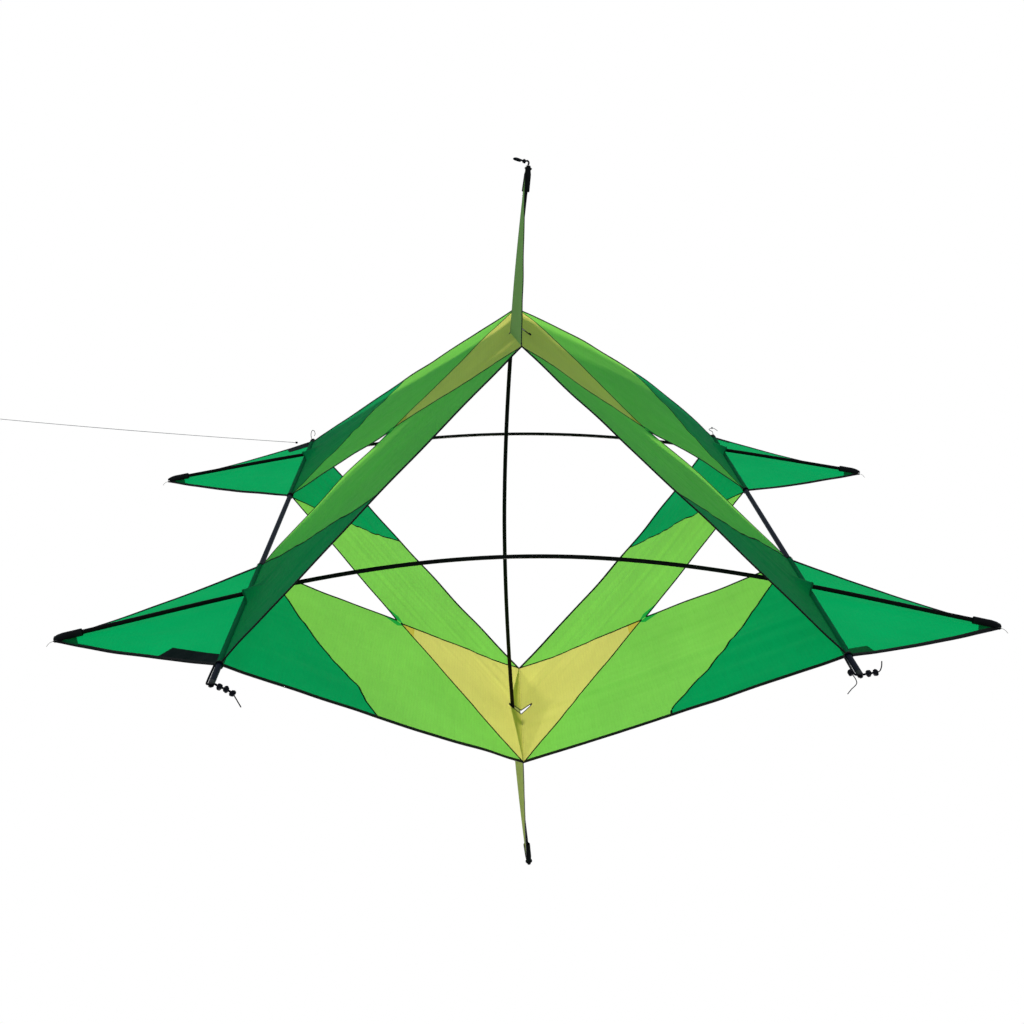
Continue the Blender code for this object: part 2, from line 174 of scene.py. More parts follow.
# Each far lamp's energy, its size in degrees and the way that its light travels. The key lamp shines up
# through the sails, a little from the near end. The one beside it gives the lower fin a paler shadow.
LAMPS = {
    "key": (2.75, 2.5, (-0.05, -0.14, 1.0)),
    "key_beside": (0.95, 2.5, (0.11, -0.14, 1.0)),
    "fill": (0.25, 40.0, (0.5, 0.8, -0.8)),
}


def add_object(name, data):
    obj = bpy.data.objects.new(name, data)
    bpy.context.collection.objects.link(obj)
    return obj


def add_camera():
    data = bpy.data.cameras.new("camera")
    data.lens = CAMERA_LENS
    data.sensor_width = CAMERA_SENSOR
    data.clip_start, data.clip_end = 0.05, 60.0
    camera = add_object("camera", data)
    camera.location = CAMERA_PLACE
    camera.rotation_euler = Euler([math.radians(angle) for angle in CAMERA_DEGREES])
    bpy.context.scene.camera = camera


def add_floor():
    """A plain white floor, seen by the camera only."""
    mesh = bpy.data.meshes.new("floor")
    corners = [(x * FLOOR_SIZE, y * FLOOR_SIZE, 0) for x, y in ((-1, -1), (1, -1), (1, 1), (-1, 1))]
    mesh.from_pydata(corners, [], [(0, 1, 2, 3)])
    floor = add_object("floor", mesh)
    floor.location = (CENTRE.x, CENTRE.y, CENTRE.z - FLOOR_DROP)
    made = Nodes("floor_white")
    made.tree.nodes.remove(made.shader)
    glow = made.add("ShaderNodeEmission", {"Color": WHITE, "Strength": 1.0})
    made.tree.links.new(glow.outputs[0], made.output.inputs["Surface"])
    mesh.materials.append(made.material)
    for flag in ("visible_diffuse", "visible_glossy", "visible_transmission", "visible_shadow"):
        setattr(floor, flag, False)


def add_sky():
    """A soft, slightly blue light from all round. The camera itself sees white."""
    world = bpy.data.worlds.new("studio")
    world.use_nodes = True
    bpy.context.scene.world = world
    nodes, links = world.node_tree.nodes, world.node_tree.links
    soft = nodes["Background"]
    soft.inputs["Color"].default_value = SKY_COLOUR
    soft.inputs["Strength"].default_value = SKY_STRENGTH
    white = nodes.new("ShaderNodeBackground")
    white.inputs["Color"].default_value = WHITE
    path = nodes.new("ShaderNodeLightPath")
    mix = nodes.new("ShaderNodeMixShader")
    for share, source in enumerate((path.outputs["Is Camera Ray"], soft.outputs[0], white.outputs[0])):
        links.new(source, mix.inputs[share])
    links.new(mix.outputs[0], nodes["World Output"].inputs["Surface"])


def build_stage():
    add_camera()
    add_floor()
    add_sky()
    for name, (energy, spread, travel) in LAMPS.items():
        data = bpy.data.lights.new(name, "SUN")
        data.energy = energy
        data.angle = math.radians(spread)
        data.color = LAMP_COLOUR
        lamp = add_object(name, data)
        lamp.rotation_euler = (-Vector(travel)).to_track_quat("Z", "Y").to_euler()
    bpy.context.scene.view_settings.view_transform = "Standard"


# ---------------------------------------------------------------- materials

class Nodes:
    """A small helper that adds nodes to a material and links them by name."""

    def __init__(self, name):
        self.material = bpy.data.materials.new(name)
        self.material.use_nodes = True
        self.tree = self.material.node_tree
        self.shader = self.tree.nodes["Principled BSDF"]
        self.output = self.tree.nodes["Material Output"]

    def put(self, socket, value):
        """Links a socket to a value that is itself a socket, or else sets it."""
        if isinstance(value, bpy.types.NodeSocket):
            self.tree.links.new(value, socket)
        else:
            socket.default_value = value

    def add(self, kind, values=(), **settings):
        node = self.tree.nodes.new(kind)
        for key, value in settings.items():
            setattr(node, key, value)
        for key, value in dict(values).items():
            self.put(node.inputs[key], value)
        return node

    def math(self, operation, a, b=None):
        values = {0: a} if b is None else {0: a, 1: b}
        return self.add("ShaderNodeMath", values, operation=operation).outputs[0]

    def noise(self, vector, scale, detail=3.0, roughness=0.55):
        values = {"Vector": vector, "Scale": scale, "Detail": detail, "Roughness": roughness}
        return self.add("ShaderNodeTexNoise", values).outputs["Fac"]

    def between(self, value, low, high, start=0.0, end=1.0):
        values = {"Value": value, "From Min": low, "From Max": high, "To Min": start, "To Max": end}
        return self.add("ShaderNodeMapRange", values).outputs[0]

    def mix(self, share, first, second, blend="MIX"):
        values = {0: share, 6: first, 7: second}
        return self.add("ShaderNodeMix", values, data_type="RGBA", blend_type=blend).outputs[2]

    def stretch(self, vector, scale):
        return self.add("ShaderNodeMapping", {"Vector": vector, "Scale": scale}).outputs[0]

    def bump(self, height, strength, distance, normal=None):
        values = {"Height": height, "Strength": strength, "Distance": distance}
        if normal is not None:
            values["Normal"] = normal
        return self.add("ShaderNodeBump", values).outputs[0]

    def place(self):
        return self.add("ShaderNodeTexCoord").outputs["Object"]

    def cloth_place(self):
        """The cloth map, and its two axes."""
        uv = self.add("ShaderNodeUVMap", uv_map="cloth").outputs[0]
        split = self.add("ShaderNodeSeparateXYZ", {0: uv})
        return uv, split.outputs[0], split.outputs[1]

    def feed(self, **values):
        for key, value in values.items():
            self.put(self.shader.inputs[key.replace("_", " ")], value)


def shade(colour, factor):
    return (*[channel * factor for channel in colour], 1.0)


RIPSTOP_PITCH = 0.0052
RIPSTOP_THREAD = 0.0007
RIB_PITCH = 0.0011
STRAND_PITCH = 0.0024


def grid_lines(made, axis):
    """1 on the thick ripstop threads that run across one cloth axis, and 0 between them."""
    cell = made.math("FRACT", made.math("DIVIDE", axis, RIPSTOP_PITCH))
    away = made.math("ABSOLUTE", made.math("SUBTRACT", cell, 0.5))
    return made.between(away, 0.5 - RIPSTOP_THREAD / RIPSTOP_PITCH, 0.5)


def ripstop(name, colour, through=0.5, reflect=(0.5, 1.0, 1.0)):
    """Thin calendered ripstop that lets light through: thread grid, crinkles and patchy dye.

    through is the share of light that passes, and reflect tints the rest.
    """
    made = Nodes(name)
    uv, across, along = made.cloth_place()
    grid = made.math("MAXIMUM", grid_lines(made, across), grid_lines(made, along))
    patchy = made.noise(made.place(), 9.0, 3.0)
    fine = made.noise(uv, 420.0, 2.0)
    tone = made.math("ADD", made.between(patchy, 0.3, 0.7, -0.5, 0.5),
                     made.between(fine, 0.3, 0.7, -0.35, 0.35))
    dyed = made.mix(made.between(tone, -1.0, 1.0), shade(colour, 0.88), shade(colour, 1.08))
    threads = made.mix(made.math("MULTIPLY", grid, 0.20), dyed, shade(colour, 0.72))
    crinkle = made.noise(made.place(), 70.0, 4.0, 0.6)
    folds = made.noise(made.stretch(uv, (34.0, 10.0, 1.0)), 2.2, 4.0, 0.5)
    normal = made.bump(folds, 0.30, 0.004)
    normal = made.bump(crinkle, 0.22, 0.0012, normal)
    normal = made.bump(grid, 0.15, 0.0003, normal)
    made.feed(Base_Color=made.mix(1.0, threads, (*reflect, 1.0), "MULTIPLY"), Normal=normal,
              Specular_IOR_Level=0.045, Sheen_Weight=0.012, Sheen_Roughness=0.4,
              Roughness=made.between(crinkle, 0.3, 0.7, 0.42, 0.60))
    glow = made.add("ShaderNodeBsdfTranslucent", {"Color": threads, "Normal": normal})
    both = made.add("ShaderNodeMixShader", {0: through, 1: made.shader.outputs[0], 2: glow.outputs[0]})
    made.tree.links.new(both.outputs[0], made.output.inputs["Surface"])
    return made.material


def tape(name, colour, rough=0.7):
    """Folded binding tape and webbing: a fine rib across it, fuzzy and a little worn on its edges."""
    made = Nodes(name)
    _, along, _ = made.cloth_place()
    rib = made.math("SINE", made.math("MULTIPLY", along, 2 * math.pi / RIB_PITCH))
    rib = made.between(rib, -1.0, 1.0)
    fuzz = made.noise(made.place(), 900.0, 2.0)
    worn = made.noise(made.place(), 55.0, 4.0)
    base = made.mix(made.between(worn, 0.45, 0.75), shade(colour, 0.85), shade(colour, 1.9))
    base = made.mix(made.math("MULTIPLY", rib, 0.35), base, shade(colour, 0.5))
    made.feed(Base_Color=base, Normal=made.bump(made.math("ADD", rib, fuzz), 0.5, 0.0002),
              Specular_IOR_Level=0.18, Sheen_Weight=0.05,
              Roughness=made.between(fuzz, 0.3, 0.7, rough - 0.08, rough + 0.08))
    return made.material


def rod(name, colour, scuff, grain):
    """Pultruded rod: lengthwise fibre streaks, a soft gloss and a few scuffs. grain is small along it."""
    made = Nodes(name)
    place = made.place()
    streaks = made.noise(made.stretch(place, grain), 1.0, 3.0)
    scuffs = made.between(made.noise(place, 140.0, 5.0, 0.7), 0.60, 0.74)
    base = made.mix(streaks, shade(colour, 0.7), shade(colour, 1.4))
    base = made.mix(made.math("MULTIPLY", scuffs, 0.5), base, shade(scuff, 1.0))
    made.feed(Base_Color=base, Normal=made.bump(streaks, 0.15, 0.0002), Specular_IOR_Level=0.09,
              Roughness=made.between(scuffs, 0.0, 1.0, 0.36, 0.61))
    return made.material


def moulded(name, colour):
    """Moulded nylon: fine grain and rubbed highlights."""
    made = Nodes(name)
    grain = made.noise(made.place(), 1500.0, 3.0)
    rubbed = made.between(made.noise(made.place(), 260.0, 4.0), 0.5, 0.75)
    base = made.mix(rubbed, shade(colour, 1.0), shade(colour, 2.2))
    made.feed(Base_Color=base, Normal=made.bump(grain, 0.3, 0.0002),
              Roughness=made.between(grain, 0.3, 0.7, 0.38, 0.55))
    return made.material


def braid(name, colour, light):
    """Braided cord: the strands are in the mesh, and the material paints shade into the grooves between them,
    a painted highlight on their crowns, and fuzz.
    """
    made = Nodes(name)
    _, along, round_it = made.cloth_place()
    turn = made.math("MULTIPLY", round_it, 4 * math.pi)
    run = made.math("MULTIPLY", along, 2 * math.pi / STRAND_PITCH)
    strands = made.math("ABSOLUTE", made.math("SINE", made.math("ADD", turn, run)))
    fuzz = made.noise(made.place(), 2200.0, 2.0)
    # Painted shade and highlight: the grooves between the strands are darkened and the strands' crowns are
    # lightened
    base = made.mix(made.between(strands, 0.0, 1.0), shade(colour, 0.55), shade(colour, light))
    base = made.mix(made.between(fuzz, 0.5, 0.8), base, shade(colour, light * 1.5))
    made.feed(Base_Color=base, Normal=made.bump(made.math("ADD", strands, fuzz), 0.6, 0.0002),
              Specular_IOR_Level=0.15, Sheen_Weight=0.06, Roughness=made.between(fuzz, 0.3, 0.7, 0.68, 0.85))
    return made.material


def make_materials():
    black, grey = (0.0035, 0.004, 0.0035), (0.03, 0.03, 0.03)
    return {
        "yellow": ripstop("ripstop_yellow", (0.93, 0.79, 0.20), reflect=(0.68, 1.05, 0.9)),
        "light_green": ripstop("ripstop_light_green", (0.31, 0.76, 0.098), reflect=(0.26, 1.05, 1.6)),
        "green": ripstop("ripstop_green", (0.001, 0.42, 0.115), reflect=(0.5, 0.85, 1.1)),
        "reinforced": ripstop("ripstop_reinforced", (0.002, 0.20, 0.06), through=0.35),
        "fork_green": ripstop("ripstop_fork_green", (0.015, 0.47, 0.06)),
        "fin_green": ripstop("ripstop_fin_green", (0.40, 0.66, 0.13), reflect=(0.75, 0.95, 1.5)),
        "fork_yellow": ripstop("ripstop_fork_yellow", (0.80, 0.62, 0.08), reflect=(0.72, 1.0, 1.0)),
        "seam": ripstop("ripstop_seam", (0.003, 0.018, 0.005), through=0.08),
        # Dark cloth of the wings' rod patches, also used for the painted shadow band on the front left wing
        "black_cloth": ripstop("ripstop_black_patch_and_shadow", (0.006, 0.014, 0.013), through=0.12),
        "binding": tape("binding_black", (0.004, 0.005, 0.005)),
        "webbing": tape("webbing_black", (0.006, 0.007, 0.008), 0.78),
        "thread": tape("thread_black", (0.012, 0.014, 0.013), 0.6),
        "spar": rod("spar_black", black, grey, (9.0, 400.0, 400.0)),
        "mast": rod("mast_black", black, grey, (600.0, 600.0, 9.0)),
        "longeron": rod("longeron_navy", (0.0022, 0.0048, 0.021), (0.012, 0.018, 0.040), (600.0, 9.0, 600.0)),
        "nock": moulded("nock_nylon", (0.010, 0.010, 0.012)),
        "cord": braid("cord_braid", (0.004, 0.0042, 0.008), 1.8),
        "grey_cord": braid("cord_grey", (0.10, 0.10, 0.11), 1.5),
        "line": braid("line_braid", (0.11, 0.115, 0.14), 1.3),
    }


# ---------------------------------------------------------------- making pieces


class Mesh:
    """The points, uvs and faces of a piece while it is built. uvs has (u, v) in metres for each point."""

    def __init__(self, faces=()):
        self.verts, self.uvs, self.faces = [], [], list(faces)

    def add(self, point, uv):
        self.verts.append(point)
        self.uvs.append(uv)

    def join(self, a, b, sides):
        """Faces between two rings of points, which start at points a and b."""
        for k in range(sides):
            n = (k + 1) % sides
            self.faces.append((a + k, a + n, b + n, b + k))


def piece(name, made, material, body="sail", replaces=()):
    """A shown piece, from a Mesh in kite coordinates."""
    mesh = bpy.data.meshes.new(name)
    mesh.from_pydata([at(v) for v in made.verts], [], made.faces)
    mesh.polygons.foreach_set("use_smooth", [True] * len(mesh.polygons))
    layer = mesh.uv_layers.new(name="cloth")
    for loop in mesh.loops:
        layer.data[loop.index].uv = made.uvs[loop.vertex_index]
    mesh.materials.append(MATERIALS[material])
    mesh.update()
    obj = add_object(name, mesh)
    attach(obj, body)
    if replaces:
        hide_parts(*replaces)
    return obj


def smooth_route(points, count):
    """count points, evenly spaced on a Catmull-Rom curve through the route's points."""
    padded = [points[0] * 2 - points[1], *points, points[-1] * 2 - points[-2]]
    fine = []
    for a, b, c, d in zip(padded, padded[1:], padded[2:], padded[3:]):
        for step in range(24):
            t = step / 24
            fine.append(0.5 * (2 * b + (c - a) * t + (2 * a - 5 * b + 4 * c - d) * t * t
                               + (3 * b - a - 3 * c + d) * t ** 3))
    fine.append(points[-1].copy())
    return evenly(fine, count)


def lengths_along(points):
    """The distance along a line to each of its points."""
    lengths = [0.0]
    for a, b in zip(points, points[1:]):
        lengths.append(lengths[-1] + (b - a).length)
    return lengths


def find(lengths, run):
    """Where a distance along a line falls: the number of the point before it, and the share of the way on."""
    index = min(max(bisect_left(lengths, run) - 1, 0), len(lengths) - 2)
    return index, clamp((run - lengths[index]) / max(lengths[index + 1] - lengths[index], 1e-12))


def evenly(points, count):
    lengths = lengths_along(points)
    even = []
    for step in range(count):
        index, share = find(lengths, lengths[-1] * step / (count - 1))
        even.append(points[index].lerp(points[index + 1], share))
    return even


def tube(path, radius, sides=10, strand=0.0, pitch=STRAND_PITCH, radii=None, closed=False):
    """A round or stranded cord along a path, with rounded ends."""
    made = Mesh()
    count = len(path)
    side = (path[1] - path[0]).normalized().orthogonal().normalized()
    run = 0.0
    for index, point in enumerate(path):
        before = path[index - 1] if index or closed else path[0]
        after = path[(index + 1) % count] if index < count - 1 or closed else path[-1]
        tangent = (after - before).normalized()
        side = (side - tangent * side.dot(tangent)).normalized()
        other = tangent.cross(side)
        if index:
            run += (point - path[index - 1]).length
        width = radius * (radii[index] if radii else 1.0)
        for k in range(sides):
            angle = math.tau * k / sides
            wave = 1.0 - strand * abs(math.sin(2 * angle + math.pi * run / pitch))
            way = side * math.cos(angle) + other * math.sin(angle)
            made.add(point + way * width * wave, (run, k / sides))
    for ring in range(count if closed else count - 1):
        made.join(ring * sides, (ring + 1) % count * sides, sides)
    for ring, way in () if closed else ((0, -1), (count - 1, 1)):
        made.add(path[ring] + (path[ring] - path[ring - way]).normalized() * radius * 0.5, (0.0, 0.0))
        tip, base = len(made.verts) - 1, ring * sides
        for k in range(sides):
            n = (k + 1) % sides
            made.faces.append((base + k, base + n, tip) if way > 0 else (base + n, base + k, tip))
    return made


def knot_piece(name, centre, axis, radius, material, body, seed=0, replaces=()):
    """A pulled-tight overhand knot: a cord that runs round a small trefoil."""
    strand = radius * 0.50
    size = (radius - strand) / 3.0
    turn = axis.to_track_quat("Z", "Y") @ Euler((0, 0, seed * 1.3)).to_quaternion()
    path = []
    for step in range(72):
        t = math.tau * step / 72
        wide = 2 + math.cos(3 * t)
        point = Vector((wide * math.cos(2 * t), wide * math.sin(2 * t), 1.35 * math.sin(3 * t))) * size
        path.append(centre + turn @ point)
    return piece(name, tube(path, strand, 8, 0.06, closed=True), material, body, replaces)


# ---------------------------------------------------------------- cords

# Each tension cord's route from the nock's slot to its end, as (mm outwards, metres behind the slot, mm up),
# then how many mm outwards its two points beside the nock lie, and then which of all its points have a knot
TENSION_ROUTES = {
    "left": ([(0, 0.0, 0), (4.0, 0.0006, -0.1), (9.4, 0.0016, -3.2), (16.8, 0.002, -6.4),
              (24.0, 0.003, -11.0), (27.5, 0.004, -17.0), (33.0, 0.006, -27.0)], (-5.8, -4.9), (5, 6, 7)),
    "right": ([(0, 0.0, 0), (4.0, 0.0006, 0.1), (9.4, 0.0016, 2.0), (17.2, 0.003, 3.4),
               (21.5, 0.004, 6.0), (22.8, 0.005, 12.0), (22.3, 0.006, 19.0)], (-6.2, -5.2), (5, 6)),
}
TAIL_SHARE = 0.55        # how thick the cord is past its last knot


def build_tension_cords():
    """The elastic cords at the nocks: along the tube, through the slot, then knots and a thin tail."""
    slot_y = NEAR_ROD_Y - NOCK_LENGTH + SLOT_DEPTH - CORD_RADIUS - FIT
    for side, out in SIDES.items():
        free, beside, knots = TENSION_ROUTES[side]
        route = [(-5.6, -CELL_END - 0.002, 0), (beside[0], NEAR_ROD_Y + 0.004, 0),
                 (beside[1], slot_y - 0.0004, 0)]
        route += [(x, slot_y - behind, z) for x, behind, z in free]
        points = [Vector((out * ROD_X + x * MM, y, z * MM)) for x, y, z in route]
        path = smooth_route(points, 220)
        last = points[max(knots)]
        passed = max(range(len(path)), key=lambda i: -(path[i] - last).length)
        radii = [1.0 if i <= passed else TAIL_SHARE for i in range(len(path))]
        name, body = f"{side}_tension_cord", f"{side}_rod"
        made = tube(path, CORD_RADIUS * FUZZ, 10, 0.10, radii=radii)
        cord = piece(f"{name}_braid", made, "cord", body, [name])
        tied = []
        for number, index in enumerate(knots):
            axis = points[index + 1] - points[index - 1]
            tied.append(knot_piece(f"{name}_knot_{number}", points[index], axis, KNOT_RADIUS, "cord", body,
                                   number))
        if side == "right":
            tied += add_loose_end(name, body, Vector((out * ROD_X, slot_y, 0.0)))


def add_loose_end(name, body, nock):
    """The other end of the cord: a knot beside the nock and a thin tail that hangs from it."""
    knot = nock + Vector((-10.2, 3.0, 1.2)) * MM
    bends = ((5.0, -3.4, -6.0), (6.5, -5.0, -12.0), (1.0, -5.0, -19.0), (-3.0, -5.0, -25.0))
    path = smooth_route([knot] + [knot + Vector(bend) * MM for bend in bends], 60)
    return [knot_piece(f"{name}_end_knot", knot, Vector((1, 0.2, 0)), KNOT_RADIUS, "cord", body, 2),
            piece(f"{name}_end_tail", tube(path, TAIL_RADIUS, 8, 0.08), "cord", body)]


# Routes in millimetres, from the top spar's tip and from the rods' far ends
LOOP_ROUTE = [(0, 0, 0.2), (0.5, 0, 2.6), (-1.4, -0.6, 5.0), (-6.0, -1.6, 4.6), (-11.0, -3.4, 6.6),
              (-17.0, -3.6, 8.8), (-20.5, 0, 8.0), (-17.0, 3.4, 6.0), (-11.0, 3.0, 4.4)]
TAIL_ROUTES = {
    "left": [(-2.2, 0, 0), (-2.8, 1, 8.0), (-0.5, 2, 14.5), (3.0, 3, 14.0), (4.6, 3, 8.5), (3.2, 2, 4.5)],
    "right": [(0, 0, 0), (-1.5, 1, 5.0), (-7.5, 2, 8.5), (-2.0, 3, 11.5), (4.5, 3, 9.0), (8.5, 2, 6.0)],
}


def build_top_loop():
    """The knotted loop on the top tip."""
    base = mast_point(MAST_TOP_Z) + Vector((0.0, 0.0, POCKET_END + 2 * FIT + CORD_RADIUS))
    points = [base + Vector(p) * MM for p in LOOP_ROUTE]
    path = smooth_route(points, 120)
    made = tube(path, CORD_RADIUS * FUZZ, 10, 0.10)
    loop = piece("top_loop_braid", made, "cord", "hang_loop", ["top_loop"])
    knot = knot_piece("top_loop_knot", points[3], points[4] - points[2], 0.0034, "cord", "hang_loop", 1)
    root = knot_piece("top_loop_root", base, Vector((0.0, 0.3, 1.0)), 0.0015, "cord", "hang_loop", 2)


def build_far_cords():
    """The short cord ends behind the rods' far ends."""
    lift = SLEEVE_RADIUS + FIT + TAIL_RADIUS
    for side, out in SIDES.items():
        points = [Vector((out * ROD_X + x * MM, FAR_ROD_Y - 0.004 + y * MM, lift + z * MM))
                  for x, y, z in TAIL_ROUTES[side]]
        path = smooth_route(points, 90)
        made = tube(path, TAIL_RADIUS, 8, 0.08, pitch=0.0016)
        tail = piece(f"{side}_far_cord_end", made, "grey_cord", replaces=[f"{side}_far_cord"])
        tied = []
        if side == "right":
            axis = points[4] - points[2]
            tied = [knot_piece("right_far_cord_knot", points[3], axis, 0.0020, "grey_cord", "sail")]


def build_flying_line():
    """The taut flying line between its knots. It hangs 2 mm low at its middle."""
    start = TOW_KNOT + LINE_DIRECTION * (LINE_KNOT_RADIUS + FIT)
    count = 300
    path = []
    for step in range(count):
        share = step / (count - 1)
        sag = -LINE_SAG * 4 * share * (1 - share)
        path.append(start + LINE_DIRECTION * LINE_LENGTH * share + Vector((0, 0, sag)))
    end = path[-1] + LINE_DIRECTION * (LINE_KNOT_RADIUS + FIT)
    knot_piece("tow_knot_tied", TOW_KNOT, Vector((0.2, 0.1, 1.0)), LINE_KNOT_RADIUS, "cord", "line_knot", 0,
               ["tow_knot"])
    made = tube(path, LINE_RADIUS, 8, 0.12, pitch=0.0018)
    line = piece("flying_line_braid", made, "line", "line", ["flying_line"])
    knot = knot_piece("line_end_knot_tied", end, LINE_DIRECTION, LINE_KNOT_RADIUS, "line", "line", 2,
                      ["line_end_knot"])


# ---------------------------------------------------------------- the sail's cloth surface

# How far each arm's outer edge, each arm's inner edge and each quarter's middle bow outwards, in millimetres
BOWS = {
    ("upper", "right"): {"middle": -2.0, "front": (1.0, 4.0), "rear": (20.0, 4.0)},
    ("upper", "left"): {"middle": 2.5, "front": (3.0, 6.0), "rear": (2.0, 3.0)},
    ("lower", "right"): {"middle": 1.5, "front": (2.0, 2.0), "rear": (12.0, 3.0)},
    ("lower", "left"): {"middle": 1.5, "front": (3.0, 2.0), "rear": (4.0, 2.0)},
}
# How a colour seam wanders from the straight line, as (share from the inner corner to the foot, millimetres)
SEAM_WAVES = {
    ("lower", "left", "front"): [(0, 0), (0.2, 1), (0.36, 8), (0.5, 12), (0.62, 10.5), (0.72, 5), (0.79, 0.5),
                                 (0.85, 9), (0.9, 14), (1, 15)],
    ("lower", "right", "front"): [(0, 0), (0.17, 6), (0.35, 7), (0.5, 11), (0.7, 6.5), (0.85, -0.5),
                                  (0.93, -7), (0.965, -6), (1, 3)],
    ("upper", "left", "front"): [(0, 0), (0.25, 12), (0.5, 16), (0.8, 10), (1, 0)],
    ("upper", "right", "front"): [(0, 0), (0.3, 5), (0.5, 17), (0.8, 8), (1, 0)],
    ("upper", "right", "rear"): [(0, 0), (0.3, 10), (0.6, 8), (1, -4)],
    ("upper", "left", "rear"): [(0, 0), (0.3, -6), (0.6, -3), (1, -2)],
    ("lower", "right", "rear"): [(0, 0), (0.3, 4), (0.6, 8), (1, 10)],
    ("lower", "left", "rear"): [(0, 0), (0.4, 2), (0.7, 8), (1, 24)],
}
CREASE = {("lower", "left", "rear"): 1.7, ("lower", "right", "rear"): 1.6, ("lower", "right", "front"): 1.8}


def through_points(stops, at_share):
    """A smooth value between (share, value) stops."""
    for (a, low), (b, high) in zip(stops, stops[1:]):
        if at_share <= b:
            return low + (high - low) * ease((at_share - a) / (b - a))
    return stops[-1][1]


def outer_edge_y(share):
    return RIDGE_HALF + (CELL_END - RIDGE_HALF) * share


def inner_edge_y(share):
    return CELL_GAP * max(0.0, (share - FORK_NOTCH) / (1 - FORK_NOTCH))


def bow(quarter, r, y):
    """How far the cloth stands out of its plane, away from the kite's inside."""
    share = clamp(r / SLOPE_LENGTH)
    outer, inner = BOWS[quarter][end_at(y)]
    middle = BOWS[quarter]["middle"]
    inner = middle + (inner - middle) * ease((share - FORK_NOTCH) / 0.2)
    low, high = inner_edge_y(share), outer_edge_y(share)
    across = ease((abs(y) - low) / max(high - low, 1e-6))
    height = (inner + (outer - inner) * across) * math.sin(math.pi * share)
    return height * MM


def creases(quarter, r, y):
    """Tension creases that run along an arm, fading out at the ridge and at the rod."""
    level, side = quarter
    end = end_at(y)
    seed = 3.1 * LEVELS[level] + 7.7 * SIDES[side] + 1.9 * ENDS[end]
    lean = (CELL_END - RIDGE_HALF) / SLOPE_LENGTH
    size = math.hypot(1.0, lean)
    run = (r + abs(y) * lean) / size
    cross = (abs(y) - r * lean) / size
    pleat = noise.noise(Vector((cross / 0.0095, run / 0.30, seed))) * 0.00060
    pleat += noise.noise(Vector((cross / 0.022, run / 0.34, seed + 5))) * 0.0013
    low, high = inner_edge_y(r / SLOPE_LENGTH), outer_edge_y(r / SLOPE_LENGTH)
    across = clamp((abs(y) - low) / (high - low))
    pleat *= CREASE.get((level, side, end), 1.0) * ease(abs(y) / 0.03) * (0.25 + 3.6 * across * (1 - across))
    # The seam along the yellow triangle's edge holds the cloth nearly flat
    past_seam = abs(abs(y) / RIDGE_HALF + r / FORK_R - 1)
    off_seam = past_seam * RIDGE_HALF * FORK_R / math.hypot(RIDGE_HALF, FORK_R)
    pleat *= 0.3 + 0.7 * ease(off_seam / 0.035)
    drape = noise.noise(Vector((r / 0.085, y / 0.085, LEVELS[level] + 2 * SIDES[side]))) * 0.0018
    fade = ease(r / 0.03) * ease((SLOPE_LENGTH - r) / 0.035)
    return (pleat + drape) * fade


# How the ridge and the keel are pulled out of true at their near and far ends, in millimetres of x and of z
SWAYS = {"upper": ((-5.0, 0.0), (-4.0, -4.5)), "lower": ((-3.5, -7.0), (-0.5, -2.0))}


def sway(level, y):
    near, far = SWAYS[level]
    share = clamp((y + RIDGE_HALF) / (2 * RIDGE_HALF))
    return Vector((near[0] + (far[0] - near[0]) * share, 0.0, near[1] + (far[1] - near[1]) * share)) * MM


def tent(quarter, r, y):
    """The small arch of an upper panel over a cross spar, where the spar leaves the cell beside the rod."""
    level, side = quarter
    if level == "lower" or r < TENT_START / SLOPE_COS:
        return 0.0
    reach = (r * SLOPE_COS - TENT_START) / (ROD_X - TENT_START)
    beside = (y - cross_spar_point(end_at(y), SIDES[side] * ROD_X).y) / TENT_WIDTH
    return TENT_HEIGHT * min(reach, 1.0) * ease(reach * 3) * math.exp(-beside * beside)


def sail_point(quarter, r, y):
    level, side = quarter
    out, up = SIDES[side], LEVELS[level]
    away = bow(quarter, r, y) + creases(quarter, r, y) + tent(quarter, r, y)
    x = r * SLOPE_COS + away * SLOPE_SIN
    z = RIDGE_Z - r * SLOPE_SIN + away * SLOPE_COS
    return Vector((out * x, y, up * z)) + sway(level, y) * (1 - r / SLOPE_LENGTH)


def normal_at(surface, u, v, face_up=True):
    """The normal of a cloth surface, turned upwards if it has to face up."""
    d = 0.0008
    a = surface(u + d, v) - surface(u - d, v)
    b = surface(u, v + d) - surface(u, v - d)
    normal = a.cross(b).normalized()
    return -normal if face_up and normal.z <= 0 else normal


ROD_EDGE = SLOPE_LENGTH - SLEEVE_RADIUS + 0.0003


def line_of(a, b, step=CLOTH_STEP):
    a, b = Vector(a), Vector(b)
    count = max(2, math.ceil((b - a).length / step))
    return [a.lerp(b, n / count) for n in range(count + 1)]


def seam_line(quarter, end):
    """The seam between light green and green, from the inner corner to its foot on the outer edge."""
    level, side = quarter
    sign = ENDS[end]
    start = Vector((ROD_EDGE, CELL_GAP))
    waves = SEAM_WAVES[(level, side, end)]
    edge = Vector((SLOPE_LENGTH, CELL_END - RIDGE_HALF)).normalized()
    chord_foot = Vector((SEAM_FOOT * SLOPE_LENGTH, outer_edge_y(SEAM_FOOT)))
    way = (chord_foot - start).normalized()
    across = Vector((-way.y, way.x))
    if across.dot(edge) < 0:
        across.negate()
    shift = waves[-1][1] * MM / across.dot(edge)
    foot = chord_foot + edge * shift
    count = math.ceil((foot - start).length / CLOTH_STEP)
    points = []
    for n in range(count + 1):
        share = n / count
        off = (through_points(waves, share) - waves[-1][1] * share) * MM
        points.append(start.lerp(foot, share) + across * off)
    return [Vector((p.x, sign * p.y)) for p in points]


